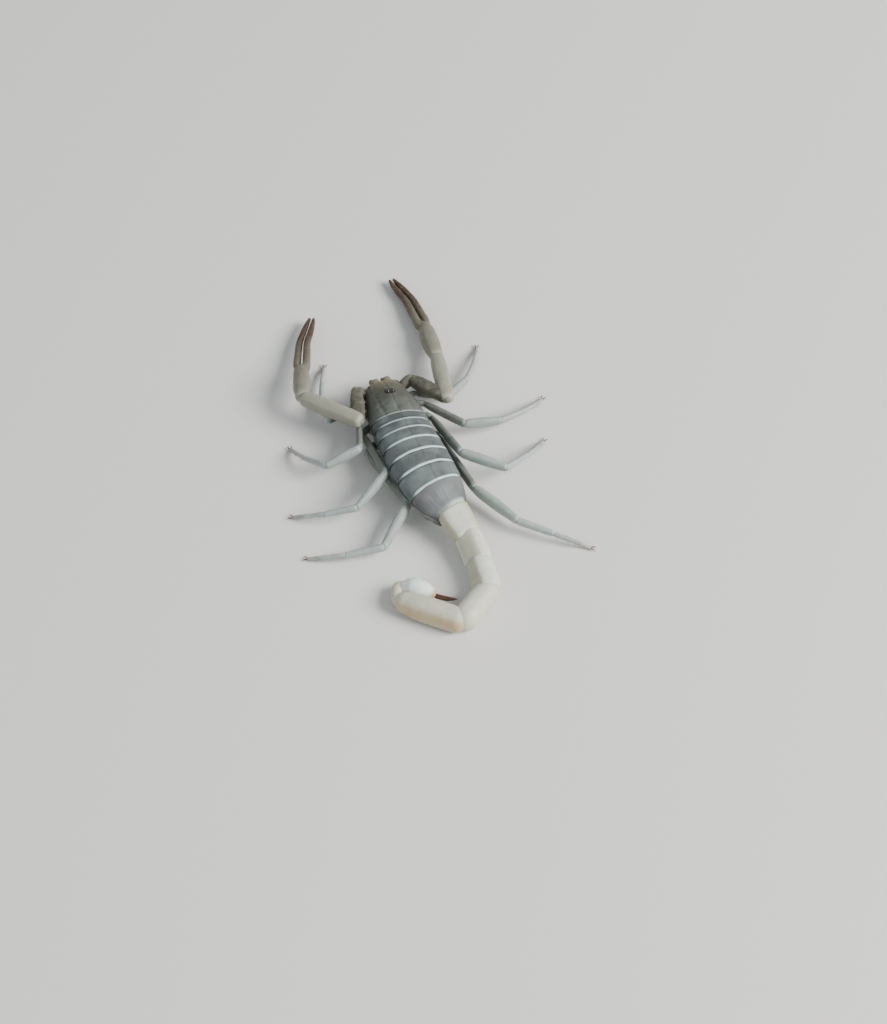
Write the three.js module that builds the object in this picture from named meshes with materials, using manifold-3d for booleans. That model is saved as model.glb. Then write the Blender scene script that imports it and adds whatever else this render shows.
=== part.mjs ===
// Desert scorpion at rest, life size, as one still museum model.
// Millimetres, +Z up. The head faces -Y, the animal's left is +X, and the floor is z = 0.
// Built round the waist, where the carapace meets the first back plate, and centred at the end.

import * as THREE from "three";
import { mergeVertices } from "three/addons/utils/BufferGeometryUtils.js";
import Module from "manifold-3d";

const wasm = await Module();
wasm.setup();

// ---- driving sizes ----

const GAP = 0.04; // clearance between neighbouring solids
const PLATE = 0.22; // thickness of the carapace and the back plates
const CARAPACE_LENGTH = 4.7;
const TERGITE_LENGTHS = [0.95, 1.1, 1.3, 1.5, 1.6, 1.75, 2.6];
const TAIL_LENGTHS = [2.3, 2.7, 2.85, 3.8, 5.75];
const VESICLE_LENGTH = 3.1;
const STING_LENGTH = 1.9;
const EYE_RADIUS = 0.19;
const LEG_SIDES = 8;
const TAIL_SIDES = 12;

// Body outline, with s measured back from the waist along the midline: half width of the plates,
// height of the top, height of the plates' side edges, half width of the flanks, height of the
// belly, and lean in degrees, which lifts the animal's left side.
const BODY = [
  { s: -4.7, plate: 1.42, top: 2.72, edge: 2.05, flank: 1.25, belly: 0.95, lean: 3 },
  { s: -3.7, plate: 1.8, top: 3.18, edge: 2.0, flank: 1.62, belly: 0.8, lean: 4 },
  { s: -2.0, plate: 2.28, top: 3.7, edge: 2.05, flank: 2.05, belly: 0.72, lean: 5 },
  { s: 0.0, plate: 2.55, top: 4.0, edge: 2.22, flank: 2.3, belly: 0.72, lean: 6 },
  { s: 2.2, plate: 2.66, top: 4.36, edge: 2.42, flank: 2.34, belly: 0.74, lean: 7 },
  { s: 4.8, plate: 2.83, top: 4.56, edge: 2.48, flank: 2.18, belly: 0.76, lean: 8 },
  { s: 6.4, plate: 2.82, top: 4.46, edge: 2.42, flank: 2.06, belly: 0.78, lean: 7 },
  { s: 8.2, plate: 2.56, top: 4.16, edge: 2.32, flank: 2.06, belly: 0.84, lean: 5 },
  { s: 9.6, plate: 2.1, top: 3.72, edge: 2.18, flank: 2.06, belly: 0.98, lean: 3 },
  { s: 10.8, plate: 1.36, top: 3.2, edge: 2.05, flank: 1.5, belly: 1.15, lean: 2 },
];
const LEAN_HEIGHT = 2.0; // the body leans round a line this high

// Heading of the midline in degrees, turned from +Y towards +X, at distances s behind the waist.
const HEADINGS = [
  { s: -5, turn: -5 },
  { s: 0, turn: -5 },
  { s: 3, turn: -8 },
  { s: 6, turn: -13 },
  { s: 8.2, turn: -19 },
  { s: 10.8, turn: -25 },
];

// ---- colours ----

const COLOURS = {
  shell: 0xa9a795,
  flesh: 0xb3b2a2,
  tail: 0xe6dcc4,
  leg: 0xcfd3c6,
  claw: 0xd8cdae,
  finger: 0xa98560,
  sting: 0x6b2f1a,
  eye: 0x2a1a1e,
};

// ---- small helpers ----

const radians = THREE.MathUtils.degToRad;
const UP = new THREE.Vector3(0, 0, 1);

/** Unit vector turned from +Y towards +X, then raised. */
function heading(turn, rise = 0) {
  const level = Math.cos(radians(rise));
  const x = level * Math.sin(radians(turn));
  const y = level * Math.cos(radians(turn));
  return new THREE.Vector3(x, y, Math.sin(radians(rise)));
}

/** Smooth value of one column of a table of rows, with straight runs past its ends. */
function read(rows, s, column) {
  let i = 0;
  while (i < rows.length - 2 && s > rows[i + 1].s) {
    i += 1;
  }
  const slope = (k) => {
    const a = rows[Math.max(k - 1, 0)];
    const b = rows[Math.min(k + 1, rows.length - 1)];
    return (b[column] - a[column]) / (b.s - a.s);
  };
  const [low, high] = [rows[i], rows[i + 1]];
  const span = high.s - low.s;
  const t = THREE.MathUtils.clamp((s - low.s) / span, 0, 1);
  const rise = t * t * (3 - 2 * t);
  const blend = low[column] + (high[column] - low[column]) * rise;
  const tangents = slope(i) * t * (1 - t) ** 2 - slope(i + 1) * t * t * (1 - t);
  return blend + tangents * span;
}

/** Point of the body's midline on the floor, and its heading, at distance s behind the waist. */
function midline(s) {
  const steps = 24;
  const point = new THREE.Vector3();
  for (let i = 0; i < steps; i += 1) {
    const turn = read(HEADINGS, (s * (i + 0.5)) / steps, "turn");
    point.addScaledVector(heading(turn), s / steps);
  }
  const turn = read(HEADINGS, s, "turn");
  const along = heading(turn);
  return { point, along, left: heading(turn + 90) };
}

/** Closed solid skinned over rings of equally many points. Each ring runs the same way round. */
function skin(rings, fillCap) {
  const sides = rings[0].length;
  const points = rings.flat();
  const faces = [];
  for (let i = 0; i < rings.length - 1; i += 1) {
    for (let j = 0; j < sides; j += 1) {
      const a = i * sides + j;
      const b = i * sides + ((j + 1) % sides);
      faces.push([a, b, b + sides], [a, b + sides, a + sides]);
    }
  }
  fillCap(points, faces, 0, sides, false);
  fillCap(points, faces, (rings.length - 1) * sides, sides, true);
  return solidFrom(points, faces);
}

/** Cap of triangles round the middle of an end ring. */
function fanCap(points, faces, start, sides, last) {
  const middle = new THREE.Vector3();
  for (let j = 0; j < sides; j += 1) {
    middle.addScaledVector(points[start + j], 1 / sides);
  }
  points.push(middle);
  const centre = points.length - 1;
  for (let j = 0; j < sides; j += 1) {
    const a = start + j;
    const b = start + ((j + 1) % sides);
    faces.push(last ? [a, b, centre] : [b, a, centre]);
  }
}

/** Cap for the band-shaped end of an arched plate: the outer arc is followed by the inner one. */
function bandCap(points, faces, start, sides, last) {
  for (let j = 0; j < sides / 2 - 1; j += 1) {
    const a = start + j;
    const b = a + 1;
    const c = start + sides - 2 - j;
    const d = c + 1;
    const pair = [[a, b, c], [a, c, d]];
    faces.push(...pair.map((face) => (last ? face : face.reverse())));
  }
}

/** Indexed geometry with its faces pointing out, whichever way the rings ran. */
function solidFrom(points, faces) {
  let volume = 0;
  const cross = new THREE.Vector3();
  for (const [a, b, c] of faces) {
    volume += points[a].dot(cross.crossVectors(points[b], points[c]));
  }
  const index = faces.map((face) => (volume < 0 ? [face[0], face[2], face[1]] : face)).flat();
  const geometry = new THREE.BufferGeometry();
  const values = points.flatMap((point) => point.toArray());
  geometry.setAttribute("position", new THREE.Float32BufferAttribute(values, 3));
  geometry.setIndex(index);
  return geometry;
}

/** Presses whatever lies below the floor flat onto it, which gives feet and tail their small flats. */
function pressOnFloor(geometry) {
  const position = geometry.getAttribute("position");
  for (let i = 0; i < position.count; i += 1) {
    position.setZ(i, Math.max(position.getZ(i), 0));
  }
  return geometry;
}

/** Geometry with shared vertices as a solid that can be cut. */
function toSolid(geometry) {
  const bare = geometry.clone();
  bare.deleteAttribute("normal");
  bare.deleteAttribute("uv");
  const merged = mergeVertices(bare, 1e-5);
  const vertProperties = new Float32Array(merged.getAttribute("position").array);
  const triVerts = new Uint32Array(merged.getIndex().array);
  return new wasm.Manifold(new wasm.Mesh({ numProp: 3, vertProperties, triVerts }));
}

function fromSolid(solid) {
  const mesh = solid.getMesh();
  const geometry = new THREE.BufferGeometry();
  geometry.setAttribute("position", new THREE.BufferAttribute(mesh.vertProperties, 3));
  geometry.setIndex(new THREE.BufferAttribute(mesh.triVerts, 1));
  return geometry;
}

const scorpion = new THREE.Group();

/** Adds one named sub-part, with its geometry moved to its own origin. */
function add(name, geometry, colour, origin = new THREE.Vector3()) {
  geometry.translate(-origin.x, -origin.y, -origin.z);
  geometry.deleteAttribute("normal");
  geometry.computeVertexNormals();
  const material = new THREE.MeshStandardMaterial({ color: colour, roughness: 0.45, metalness: 0 });
  const mesh = new THREE.Mesh(geometry, material);
  mesh.name = name;
  mesh.position.copy(origin);
  scorpion.add(mesh);
}

// ---- trunk, carapace and back plates ----

/** Point of the body's section at s, x to the animal's left and z up, with the body's lean. */
function sectionPoint(s, x, z) {
  const { point, left } = midline(s);
  const lean = radians(read(BODY, s, "lean"));
  const rise = z - LEAN_HEIGHT;
  const across = x * Math.cos(lean) - rise * Math.sin(lean);
  return point.addScaledVector(left, across).setZ(LEAN_HEIGHT + x * Math.sin(lean) + rise * Math.cos(lean));
}

/** Arc over the back at s, from the animal's left edge to its right, grown outwards by `grow`. */
function backArc(s, angles, grow, lift = () => 0) {
  const edge = read(BODY, s, "edge");
  const wide = read(BODY, s, "plate") + grow;
  const high = read(BODY, s, "top") - edge + grow;
  return angles.map((angle) => {
    const x = wide * Math.cos(radians(angle));
    const z = edge + high * Math.sin(radians(angle)) ** 0.9 + lift(x, s);
    return sectionPoint(s, x, z);
  });
}

/** Arched plate of even thickness over the back, given its stations from front to rear. */
function archedPlate(stations, angles, lift) {
  const rings = stations.map(({ s, grow }) => {
    const outer = backArc(s, angles, grow, lift);
    const inner = backArc(s, angles, grow - PLATE, lift);
    return [...outer, ...inner.reverse()];
  });
  return skin(rings, bandCap);
}

const PLATE_ANGLES = [0, 12, 30, 50, 70, 90, 110, 130, 150, 168, 180];
const HEAD_ANGLES = [0, 14, 34, 54, 70, 82, 90, 98, 110, 126, 146, 166, 180];

const EYE_MOUND = { s: -2.75, wide: 0.42, long: 0.5, high: 0.17 };
const EYE_SPACING = 0.21; // from the midline to the middle of each eye
const EYE_DEPTH = 0.04;
const EYE_FACETS = [10, 8];

/** Low mound that carries the median eyes. */
function eyeMound(x, s) {
  const across = (x / EYE_MOUND.wide) ** 2;
  const forward = ((s - EYE_MOUND.s) / EYE_MOUND.long) ** 2;
  return EYE_MOUND.high * Math.exp(-across - forward);
}

function buildCarapace() {
  const front = -CARAPACE_LENGTH;
  const eyes = [-0.65, -0.25, 0, 0.25, 0.6].map((step) => EYE_MOUND.s + step);
  const stations = [front, front + 0.35, ...eyes, -1.6, -0.9, -GAP];
  const plate = archedPlate(
    stations.map((s) => ({ s, grow: s === front ? -0.08 : 0 })),
    HEAD_ANGLES,
    eyeMound,
  );
  let solid = toSolid(plate);
  const top = read(BODY, EYE_MOUND.s, "top") + eyeMound(EYE_SPACING, EYE_MOUND.s);
  for (const [side, sign] of [["left", 1], ["right", -1]]) {
    const centre = sectionPoint(EYE_MOUND.s, sign * EYE_SPACING, top - EYE_DEPTH);
    const socket = new THREE.SphereGeometry(EYE_RADIUS + GAP / 2, ...EYE_FACETS);
    solid = solid.subtract(toSolid(socket.translate(centre.x, centre.y, centre.z)));
    const eye = mergeVertices(new THREE.SphereGeometry(EYE_RADIUS, ...EYE_FACETS).deleteAttribute("uv"));
    add(`median_eye_${side}`, eye.translate(centre.x, centre.y, centre.z), COLOURS.eye, centre);
  }
  add("carapace", fromSolid(solid), COLOURS.shell);
}

function buildTergites() {
  let s = 0;
  TERGITE_LENGTHS.forEach((length, i) => {
    const front = s + GAP / 2;
    const rear = s + length - GAP / 2;
    const stations = [
      { s: front, grow: -0.02 },
      { s: front + 0.4 * length, grow: 0 },
      { s: rear - 0.12, grow: 0.05 },
      { s: rear, grow: 0.05 },
    ];
    add(`tergite_${i + 1}`, archedPlate(stations, PLATE_ANGLES), COLOURS.shell);
    s += length;
  });
}

/** The soft body under the plates, with the hips, the belly and the flanks. */
function buildTrunk() {
  const inset = -PLATE - 1.5 * GAP;
  const stations = [-4.62, -4.2, -3.7, -2.8, -2.0, -1.0, 0.2, 1.6, 3.2, 4.8, 6.4, 8.2, 9.6, 10.3, 10.72];
  const rings = stations.map((s) => {
    const row = (column) => read(BODY, s, column);
    const at = (x, z) => sectionPoint(s, x, z);
    const back = backArc(s, PLATE_ANGLES, inset);
    const middle = (row("edge") + row("belly")) / 2 + 0.1;
    const side = (sign) => [
      at(sign * (row("plate") - 0.02), row("edge") - GAP),
      at(sign * row("flank"), middle),
      at(sign * row("flank") * 0.8, row("belly") + 0.26),
      at(sign * row("flank") * 0.5, row("belly")),
    ];
    return [...back, ...side(-1), at(0, row("belly")), ...side(1).reverse()];
  });
  add("trunk", skin(rings, fanCap), COLOURS.flesh);
}

// ---- limbs ----

/** Point slid along its segment into the plane that halves a bend, with the outer corner drawn in. */
function mitred(spot, way, bend) {
  const normal = bend.from.clone().add(bend.to);
  const ease = normal.length() / 2;
  normal.normalize();
  const reach = bend.at.clone().sub(spot).dot(normal);
  const flat = spot.clone().addScaledVector(way, reach / way.dot(normal)).sub(bend.at);
  const corner = bend.from.clone().sub(bend.to);
  if (corner.length() > 0.01) {
    corner.normalize();
    flat.addScaledVector(corner, flat.dot(corner) * (ease - 1));
  }
  return flat.add(bend.at).addScaledVector(normal, bend.clear);
}

/**
 * Closed tube along straight joints. `joints` are its points. Each row gives the joint it follows,
 * the distance past that joint, the half width and the half height. The ends lie in the planes
 * that halve the angle with the neighbouring piece, so two pieces of a limb meet flush.
 */
function limb({ joints, rows, before, after, up = () => UP, sides = LEG_SIDES, square = 1 }) {
  const ways = joints.slice(1).map((joint, i) => joint.clone().sub(joints[i]).normalize());
  const rings = rows.map((row, index) => {
    const way = ways[row.joint];
    const top = up(row.joint).clone().addScaledVector(way, -up(row.joint).dot(way)).normalize();
    const side = new THREE.Vector3().crossVectors(top, way);
    const centre = joints[row.joint].clone().addScaledVector(way, row.past);
    let bend = null;
    if (index === 0 && before) {
      bend = { from: before, to: way, at: joints[0], clear: GAP / 2 };
    } else if (index === rows.length - 1 && after) {
      bend = { from: way, to: after, at: joints.at(-1), clear: -GAP / 2 };
    } else if (row.past === 0 && row.joint > 0) {
      bend = { from: ways[row.joint - 1], to: way, at: joints[row.joint], clear: 0 };
    }
    return Array.from({ length: sides }, (_, k) => {
      const angle = (2 * Math.PI * (k + 0.5)) / sides;
      const x = Math.sign(Math.cos(angle)) * Math.abs(Math.cos(angle)) ** square * row.wide;
      const z = Math.sign(Math.sin(angle)) * Math.abs(Math.sin(angle)) ** square * row.high;
      const spot = centre.clone().addScaledVector(side, x).addScaledVector(top, z);
      if (row.shift) {
        spot.addScaledVector(side, row.shift[0]).addScaledVector(top, row.shift[1]);
      }
      return bend ? mitred(spot, way, bend) : spot;
    });
  });
  return skin(rings, fanCap);
}

/** Joint points of a chain that starts at a point and follows given directions. */
function chain(start, ways, lengths) {
  const joints = [start.clone()];
  ways.forEach((way, i) => joints.push(joints[i].clone().addScaledVector(way, lengths[i])));
  return joints;
}

/** Direction on one side of the body: `turn` swings outwards from straight back. */
function outward(sign, [turn, rise]) {
  return heading(sign * turn, rise);
}

// Lengths of each leg's trochanter, femur, patella, tibia, basitarsus and telotarsus, front to rear.
const LEG_LENGTHS = [
  [0.8, 2.9, 2.7, 2.1, 1.5, 1.0],
  [0.8, 4.3, 3.2, 2.5, 1.7, 1.1],
  [0.9, 5.6, 4.1, 2.9, 2.0, 1.2],
  [0.95, 6.8, 4.9, 3.3, 2.2, 1.3],
];
const LEG_GIRTH = [0.82, 0.88, 0.95, 1.05];
const HIPS = [
  { s: -3.35, high: 1.5, out: 0.12 },
  { s: -2.25, high: 1.62, out: 0.16 },
  { s: -0.95, high: 1.47, out: 0.24 },
  { s: 0.75, high: 1.14, out: 0.14 },
];

// Turn and rise in degrees of trochanter, femur, patella, tibia, basitarsus and telotarsus.
// Turn is 0 straight back, 90 straight out and 180 straight ahead. Every foot is then lowered
// to the floor by one common tilt of its last three segments.
const LEG_POSES = {
  left: [
    [[95, 0], [72, 0], [178, -8], [192, -14], [196, -18], [200, -30]],
    [[70, 14], [12, 14], [77, -11], [140, -20], [155, -26], [165, -34]],
    [[50, 8], [-10, 11], [50, -8], [100, -20], [112, -26], [118, -34]],
    [[52, 0], [-19, 4], [38, -4], [92, -18], [104, -24], [112, -34]],
  ],
  right: [
    [[95, 0], [72, -1], [130, -6], [150, -20], [158, -26], [165, -34]],
    [[72, 4], [44, 1], [88, -5], [112, -22], [124, -28], [132, -34]],
    [[50, 10], [15, 13], [60, -9], [124, -22], [134, -28], [140, -34]],
    [[45, 0], [15, 3], [35, -2], [56, -16], [60, -22], [64, -34]],
  ],
};
const FOOT_HALF = 0.25;
const FOOT_HEIGHT = 0.07; // height of the end of the foot's own line, so that its tip is pressed flat
const FOOT_FLAT = 0.24; // length of the tip that is pressed flat

/** Tilt that brings the end of three segments down to the height of a resting foot. */
function settlingTilt(height, rises, lengths) {
  let [low, high] = [-60, 40];
  const climb = (rise, i, tilt) => lengths[i] * Math.sin(radians(rise + tilt));
  const endAt = (tilt) => rises.reduce((z, rise, i) => z + climb(rise, i, tilt), height);
  for (let i = 0; i < 40; i += 1) {
    const middle = (low + high) / 2;
    if (endAt(middle) > FOOT_HEIGHT) {
      high = middle;
    } else {
      low = middle;
    }
  }
  return low;
}

function buildLeg(side, sign, i) {
  const lengths = LEG_LENGTHS[i];
  const girth = LEG_GIRTH[i];
  const pose = LEG_POSES[side][i].map((pair) => [...pair]);
  const { point, left } = midline(HIPS[i].s);
  const lateral = left.clone().multiplyScalar(sign);
  const out = read(BODY, HIPS[i].s, "flank") + HIPS[i].out;
  const hip = point.addScaledVector(lateral, out).setZ(HIPS[i].high);
  const upper = chain(hip, pose.slice(0, 3).map((pair) => outward(sign, pair)), lengths.slice(0, 3));
  const tilt = settlingTilt(upper[3].z, pose.slice(3).map((pair) => pair[1]), lengths.slice(3));
  pose.slice(3).forEach((pair) => {
    pair[1] += tilt;
  });
  const ways = pose.map((pair) => outward(sign, pair));
  const joints = chain(hip, ways, lengths);
  const name = (part) => `leg_${side}_${i + 1}_${part}`;
  const row = (joint, past, wide, high) => ({ joint, past, wide: wide * girth, high: high * girth });
  const foot = (joint, past, wide, high) => ({
    joint,
    past,
    wide: Math.max(wide * girth, FOOT_HALF),
    high: Math.max(high * girth, FOOT_HALF + 0.02),
  });

  const [trochanter, femur, patella, tibia, basitarsus, telotarsus] = lengths;
  add(name("femur"), limb({
    joints: joints.slice(0, 3),
    before: lateral,
    after: ways[2],
    rows: [
      row(0, 0, 0.3, 0.36),
      row(0, trochanter * 0.55, 0.34, 0.4),
      row(1, 0, 0.27, 0.33),
      row(1, femur * 0.14, 0.33, 0.46),
      row(1, femur * 0.5, 0.36, 0.54),
      row(1, femur * 0.86, 0.38, 0.54),
      row(1, femur, 0.3, 0.4),
    ],
  }), COLOURS.leg, joints[0]);
  add(name("patella"), limb({
    joints: joints.slice(2, 4),
    before: ways[1],
    after: ways[3],
    rows: [
      row(0, 0, 0.3, 0.4),
      row(0, patella * 0.16, 0.43, 0.58),
      row(0, patella * 0.5, 0.45, 0.62),
      row(0, patella * 0.86, 0.37, 0.5),
      row(0, patella, 0.28, 0.35),
    ],
  }), COLOURS.leg, joints[2]);
  add(name("tibia_tarsus"), pressOnFloor(limb({
    joints: joints.slice(3),
    before: ways[2],
    rows: [
      foot(0, 0, 0.27, 0.33),
      foot(0, tibia * 0.16, 0.33, 0.41),
      foot(0, tibia * 0.86, 0.28, 0.34),
      foot(1, 0, 0.23, 0.28),
      foot(1, basitarsus * 0.2, 0.26, 0.3),
      foot(2, 0, 0.22, 0.26),
      foot(2, telotarsus * 0.3, 0.24, 0.28),
      foot(2, telotarsus - FOOT_FLAT, 0.22, 0.26),
      foot(2, telotarsus, 0.22, 0.26),
    ],
  })), COLOURS.leg, joints[3]);
}

// ---- pincers ----

const PALP_BASE = { s: -4.25, high: 1.8, out: 0.22 };
const PALP_LENGTHS = { trochanter: 0.95, femur: 4.2, patella: 5.85, hand: 4.5, finger: 6.2 };

// Turn and rise of trochanter, femur, patella, hand, and of each half of the fingers.
const PALP_POSES = {
  left: [[110, 24], [8, 15], [134, -6], [190, -15], [195, -8], [206, -3]],
  right: [[110, 24], [38, 9], [176, -13], [183, -8], [190, -4], [200, -2]],
};

function buildPincer(side, sign) {
  const size = PALP_LENGTHS;
  const pose = PALP_POSES[side];
  const ways = pose.map((pair) => outward(sign, pair));
  const { point, left } = midline(PALP_BASE.s);
  const lateral = left.clone().multiplyScalar(sign);
  const out = read(BODY, PALP_BASE.s, "flank") + PALP_BASE.out;
  const base = point.addScaledVector(lateral, out).setZ(PALP_BASE.high);
  const half = size.finger / 2;
  const joints = chain(base, ways, [size.trochanter, size.femur, size.patella, size.hand, half, half]);
  const row = (joint, past, wide, high, shift) => ({ joint, past, wide, high, shift });
  const sides = 10;
  const halfBend = ways[1].angleTo(ways[2]) / 2;
  const elbow = 0.8 * Math.cos(halfBend) ** 0.7;
  const nook = Math.min(0.56, 0.96 / Math.tan(halfBend)); // leaves room inside so sharp a bend
  const name = (part) => `pedipalp_${side}_${part}`;

  add(name("femur"), limb({
    sides,
    joints: joints.slice(0, 3),
    before: lateral,
    after: ways[2],
    rows: [
      row(0, 0, 0.42, 0.44),
      row(0, size.trochanter * 0.5, 0.48, 0.5),
      row(1, 0, 0.42, 0.44),
      row(1, size.femur * 0.2, 0.6, 0.54),
      row(1, size.femur * 0.52, 0.65, 0.58),
      row(1, size.femur * 0.76, nook, nook),
      row(1, size.femur, elbow, elbow),
    ],
  }), COLOURS.claw, joints[0]);
  add(name("patella"), limb({
    sides,
    joints: joints.slice(2, 4),
    before: ways[1],
    after: ways[3],
    rows: [
      row(0, 0, elbow, elbow),
      row(0, size.patella * 0.18, nook, nook),
      row(0, size.patella * 0.34, 0.7, 0.66),
      row(0, size.patella * 0.58, 0.75, 0.7),
      row(0, size.patella * 0.84, 0.7, 0.68),
      row(0, size.patella, 0.54, 0.54),
    ],
  }), COLOURS.claw, joints[2]);

  // The fixed finger grows from the inner side of the hand, and the movable one from the outer.
  const inner = sign * -0.4;
  add(name("hand"), limb({
    sides,
    joints: joints.slice(3, 7),
    before: ways[2],
    rows: [
      row(0, 0, 0.52, 0.52),
      row(0, size.hand * 0.14, 0.7, 0.66),
      row(0, size.hand * 0.38, 0.82, 0.78),
      row(0, size.hand * 0.62, 0.78, 0.76),
      row(0, size.hand * 0.86, 0.64, 0.64),
      row(1, 0, 0.35, 0.42, [inner, 0.1]),
      row(1, half * 0.5, 0.34, 0.36, [inner * 0.96, 0.08]),
      row(2, 0, 0.3, 0.31, [inner * 0.84, 0.06]),
      row(2, half * 0.6, 0.25, 0.26, [inner * 0.71, 0.04]),
      row(2, half, 0.12, 0.14, [inner * 0.43, 0]),
    ],
  }), COLOURS.claw, joints[3]);
  const outer = -inner;
  add(name("movable_finger"), limb({
    sides: 8,
    joints: joints.slice(4, 7),
    rows: [
      row(0, -0.3, 0.2, 0.25, [outer * 0.95, -0.06]),
      row(0, half * 0.1, 0.33, 0.38, [outer, -0.08]),
      row(0, half * 0.5, 0.33, 0.36, [outer * 0.96, -0.08]),
      row(1, 0, 0.3, 0.31, [outer * 0.87, -0.06]),
      row(1, half * 0.6, 0.25, 0.26, [outer * 0.74, -0.04]),
      row(1, half * 0.98, 0.12, 0.14, [outer * 0.43, 0]),
    ],
  }), COLOURS.finger, joints[4]);
}

// ---- tail ----

const TAIL_TURNS = [-20, -8, 0, 47, 125];
const TAIL_RISES = [-17, -9, -3, 0, 0];
const TAIL_ROLLS = [8, 35, 68, 95, 95]; // lean of each segment's upper side towards the animal's left
const TAIL_GIRTHS = [
  { wide: 1.32, high: 1.08 },
  { wide: 1.24, high: 1.07 },
  { wide: 1.21, high: 1.12 },
  { wide: 1.17, high: 1.1 },
  { wide: 1.15, high: 1.06 },
];
const START_GIRTHS = [0.94, 0.84, 0.84, 0.84, 0.98]; // each segment's front end, as a share of its girth
const END_GIRTHS = [0.83, 0.86, 0.88, 0.98, 0.62]; // its rear end
const TAIL_FLARE = { wider: 0.16, until: 0.72 }; // the tail's root, as shares of girth and length
const TAIL_BASE_HEIGHT = 2.3;

/** Upper side of a tail segment: straight up, leant to the left round the segment's own line. */
function tailTop(way, roll) {
  const level = UP.clone().addScaledVector(way, -UP.dot(way)).normalize();
  return level.applyAxisAngle(way, radians(roll));
}

function buildTail() {
  const bodyLength = TERGITE_LENGTHS.reduce((sum, length) => sum + length, 0);
  const end = midline(bodyLength);
  const base = end.point.clone().addScaledVector(end.along, 0.04).setZ(TAIL_BASE_HEIGHT);
  const ways = TAIL_TURNS.map((turn, i) => heading(turn, TAIL_RISES[i]));
  const joints = chain(base, ways, TAIL_LENGTHS);
  const tops = ways.map((way, i) => tailTop(way, TAIL_ROLLS[i]));
  TAIL_LENGTHS.forEach((length, i) => {
    const { wide, high } = TAIL_GIRTHS[i];
    const last = i === TAIL_LENGTHS.length - 1;
    const flare = (part) => (i > 0 ? 1 : 1 + TAIL_FLARE.wider * Math.max(0, 1 - part / TAIL_FLARE.until));
    const row = (part, across, deep) => ({
      joint: 0,
      past: length * part,
      wide: wide * across * flare(part),
      high: high * deep,
    });
    const before = i === 0 ? end.along : ways[i - 1];
    const after = ways[i + 1] ?? null;
    const near = Math.tan(before.angleTo(ways[i]) / 2);
    const far = after ? Math.tan(after.angleTo(ways[i]) / 2) : 0;
    const rows = [
      row(0, START_GIRTHS[i], START_GIRTHS[i]),
      row(0.16, 0.97, 0.97),
      row(0.5, 0.98, 0.98),
      row(0.72, last ? 0.94 : 1, last ? 0.95 : 1),
      row(0.9, last ? 0.8 : 0.98, last ? 0.82 : 0.98),
      row(1, END_GIRTHS[i], END_GIRTHS[i]),
    ].filter(({ past, wide: reach }, k, all) => (
      k === 0 || k === all.length - 1 || (past > reach * near && length - past > reach * far)
    ));
    add(`metasoma_${i + 1}`, pressOnFloor(limb({
      sides: TAIL_SIDES,
      square: 0.8,
      joints: joints.slice(i, i + 2),
      before,
      after,
      up: () => tops[i],
      rows,
    })), COLOURS.tail, joints[i]);
  });
  buildTelson(joints.at(-1), ways.at(-1), tops.at(-1));
}

const TELSON = { fold: 174, past: 0.42, above: 1.38 }; // its base, measured from the tail's last joint

/** Venom bulb and sting, folded back along the upper side of the last tail segment. */
function buildTelson(joint, tailWay, top) {
  const fold = radians(TELSON.fold);
  const way = tailWay.clone().multiplyScalar(Math.cos(fold)).addScaledVector(top, Math.sin(fold));
  const away = top.clone().addScaledVector(way, -top.dot(way)).normalize();
  const start = joint.clone().addScaledVector(tailWay, TELSON.past).addScaledVector(top, TELSON.above);
  const end = start.clone().addScaledVector(way, VESICLE_LENGTH);
  const row = (part, wide, high, lean) => ({
    joint: 0,
    past: VESICLE_LENGTH * part,
    wide,
    high,
    shift: [0, lean],
  });
  add("telson_vesicle", pressOnFloor(limb({
    sides: 10,
    joints: [start, end],
    up: () => away,
    rows: [
      row(0, 0.36, 0.34, 0.0),
      row(0.08, 0.62, 0.56, 0.1),
      row(0.28, 1.0, 0.82, 0.2),
      row(0.55, 1.05, 0.88, 0.24),
      row(0.78, 0.76, 0.66, 0.16),
      row(0.93, 0.44, 0.42, 0.06),
      row(1, 0.3, 0.3, 0.02),
    ],
  })), COLOURS.tail, start);
  const stingWays = [-3, 8, 19].map((bend) => {
    const angle = radians(bend);
    return way.clone().multiplyScalar(Math.cos(angle)).addScaledVector(away, Math.sin(angle));
  });
  const third = STING_LENGTH / 3;
  const base = end.clone().addScaledVector(way, GAP);
  const points = chain(base, stingWays, [third, third, third]);
  add("telson_sting", limb({
    joints: points,
    up: () => away,
    rows: [
      { joint: 0, past: 0.02, wide: 0.29, high: 0.29 },
      { joint: 1, past: 0, wide: 0.26, high: 0.26 },
      { joint: 2, past: 0, wide: 0.2, high: 0.2 },
      { joint: 2, past: third, wide: 0.06, high: 0.06 },
    ],
  }), COLOURS.sting, base);
}

// ---- mouthparts and combs ----

/** Pincer-like mouthpart below the front edge of the carapace. */
function buildChelicera(side, sign) {
  const base = sectionPoint(-CARAPACE_LENGTH + 0.02, sign * 0.51, 1.88);
  const ahead = read(HEADINGS, -CARAPACE_LENGTH, "turn") + 180;
  const ways = [heading(ahead - sign * 3, -8), heading(ahead + sign * 10, -26)];
  const joints = chain(base, ways, [0.68, 0.4]);
  const row = (joint, past, wide, high) => ({ joint, past, wide, high });
  add(`chelicera_${side}`, limb({
    sides: 10,
    square: 0.8,
    joints,
    rows: [
      row(0, 0, 0.38, 0.4),
      row(0, 0.2, 0.47, 0.5),
      row(0, 0.5, 0.46, 0.5),
      row(1, 0, 0.4, 0.44),
      row(1, 0.25, 0.28, 0.32),
      row(1, 0.4, 0.14, 0.18),
    ],
  }), COLOURS.claw, base);
}

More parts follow.
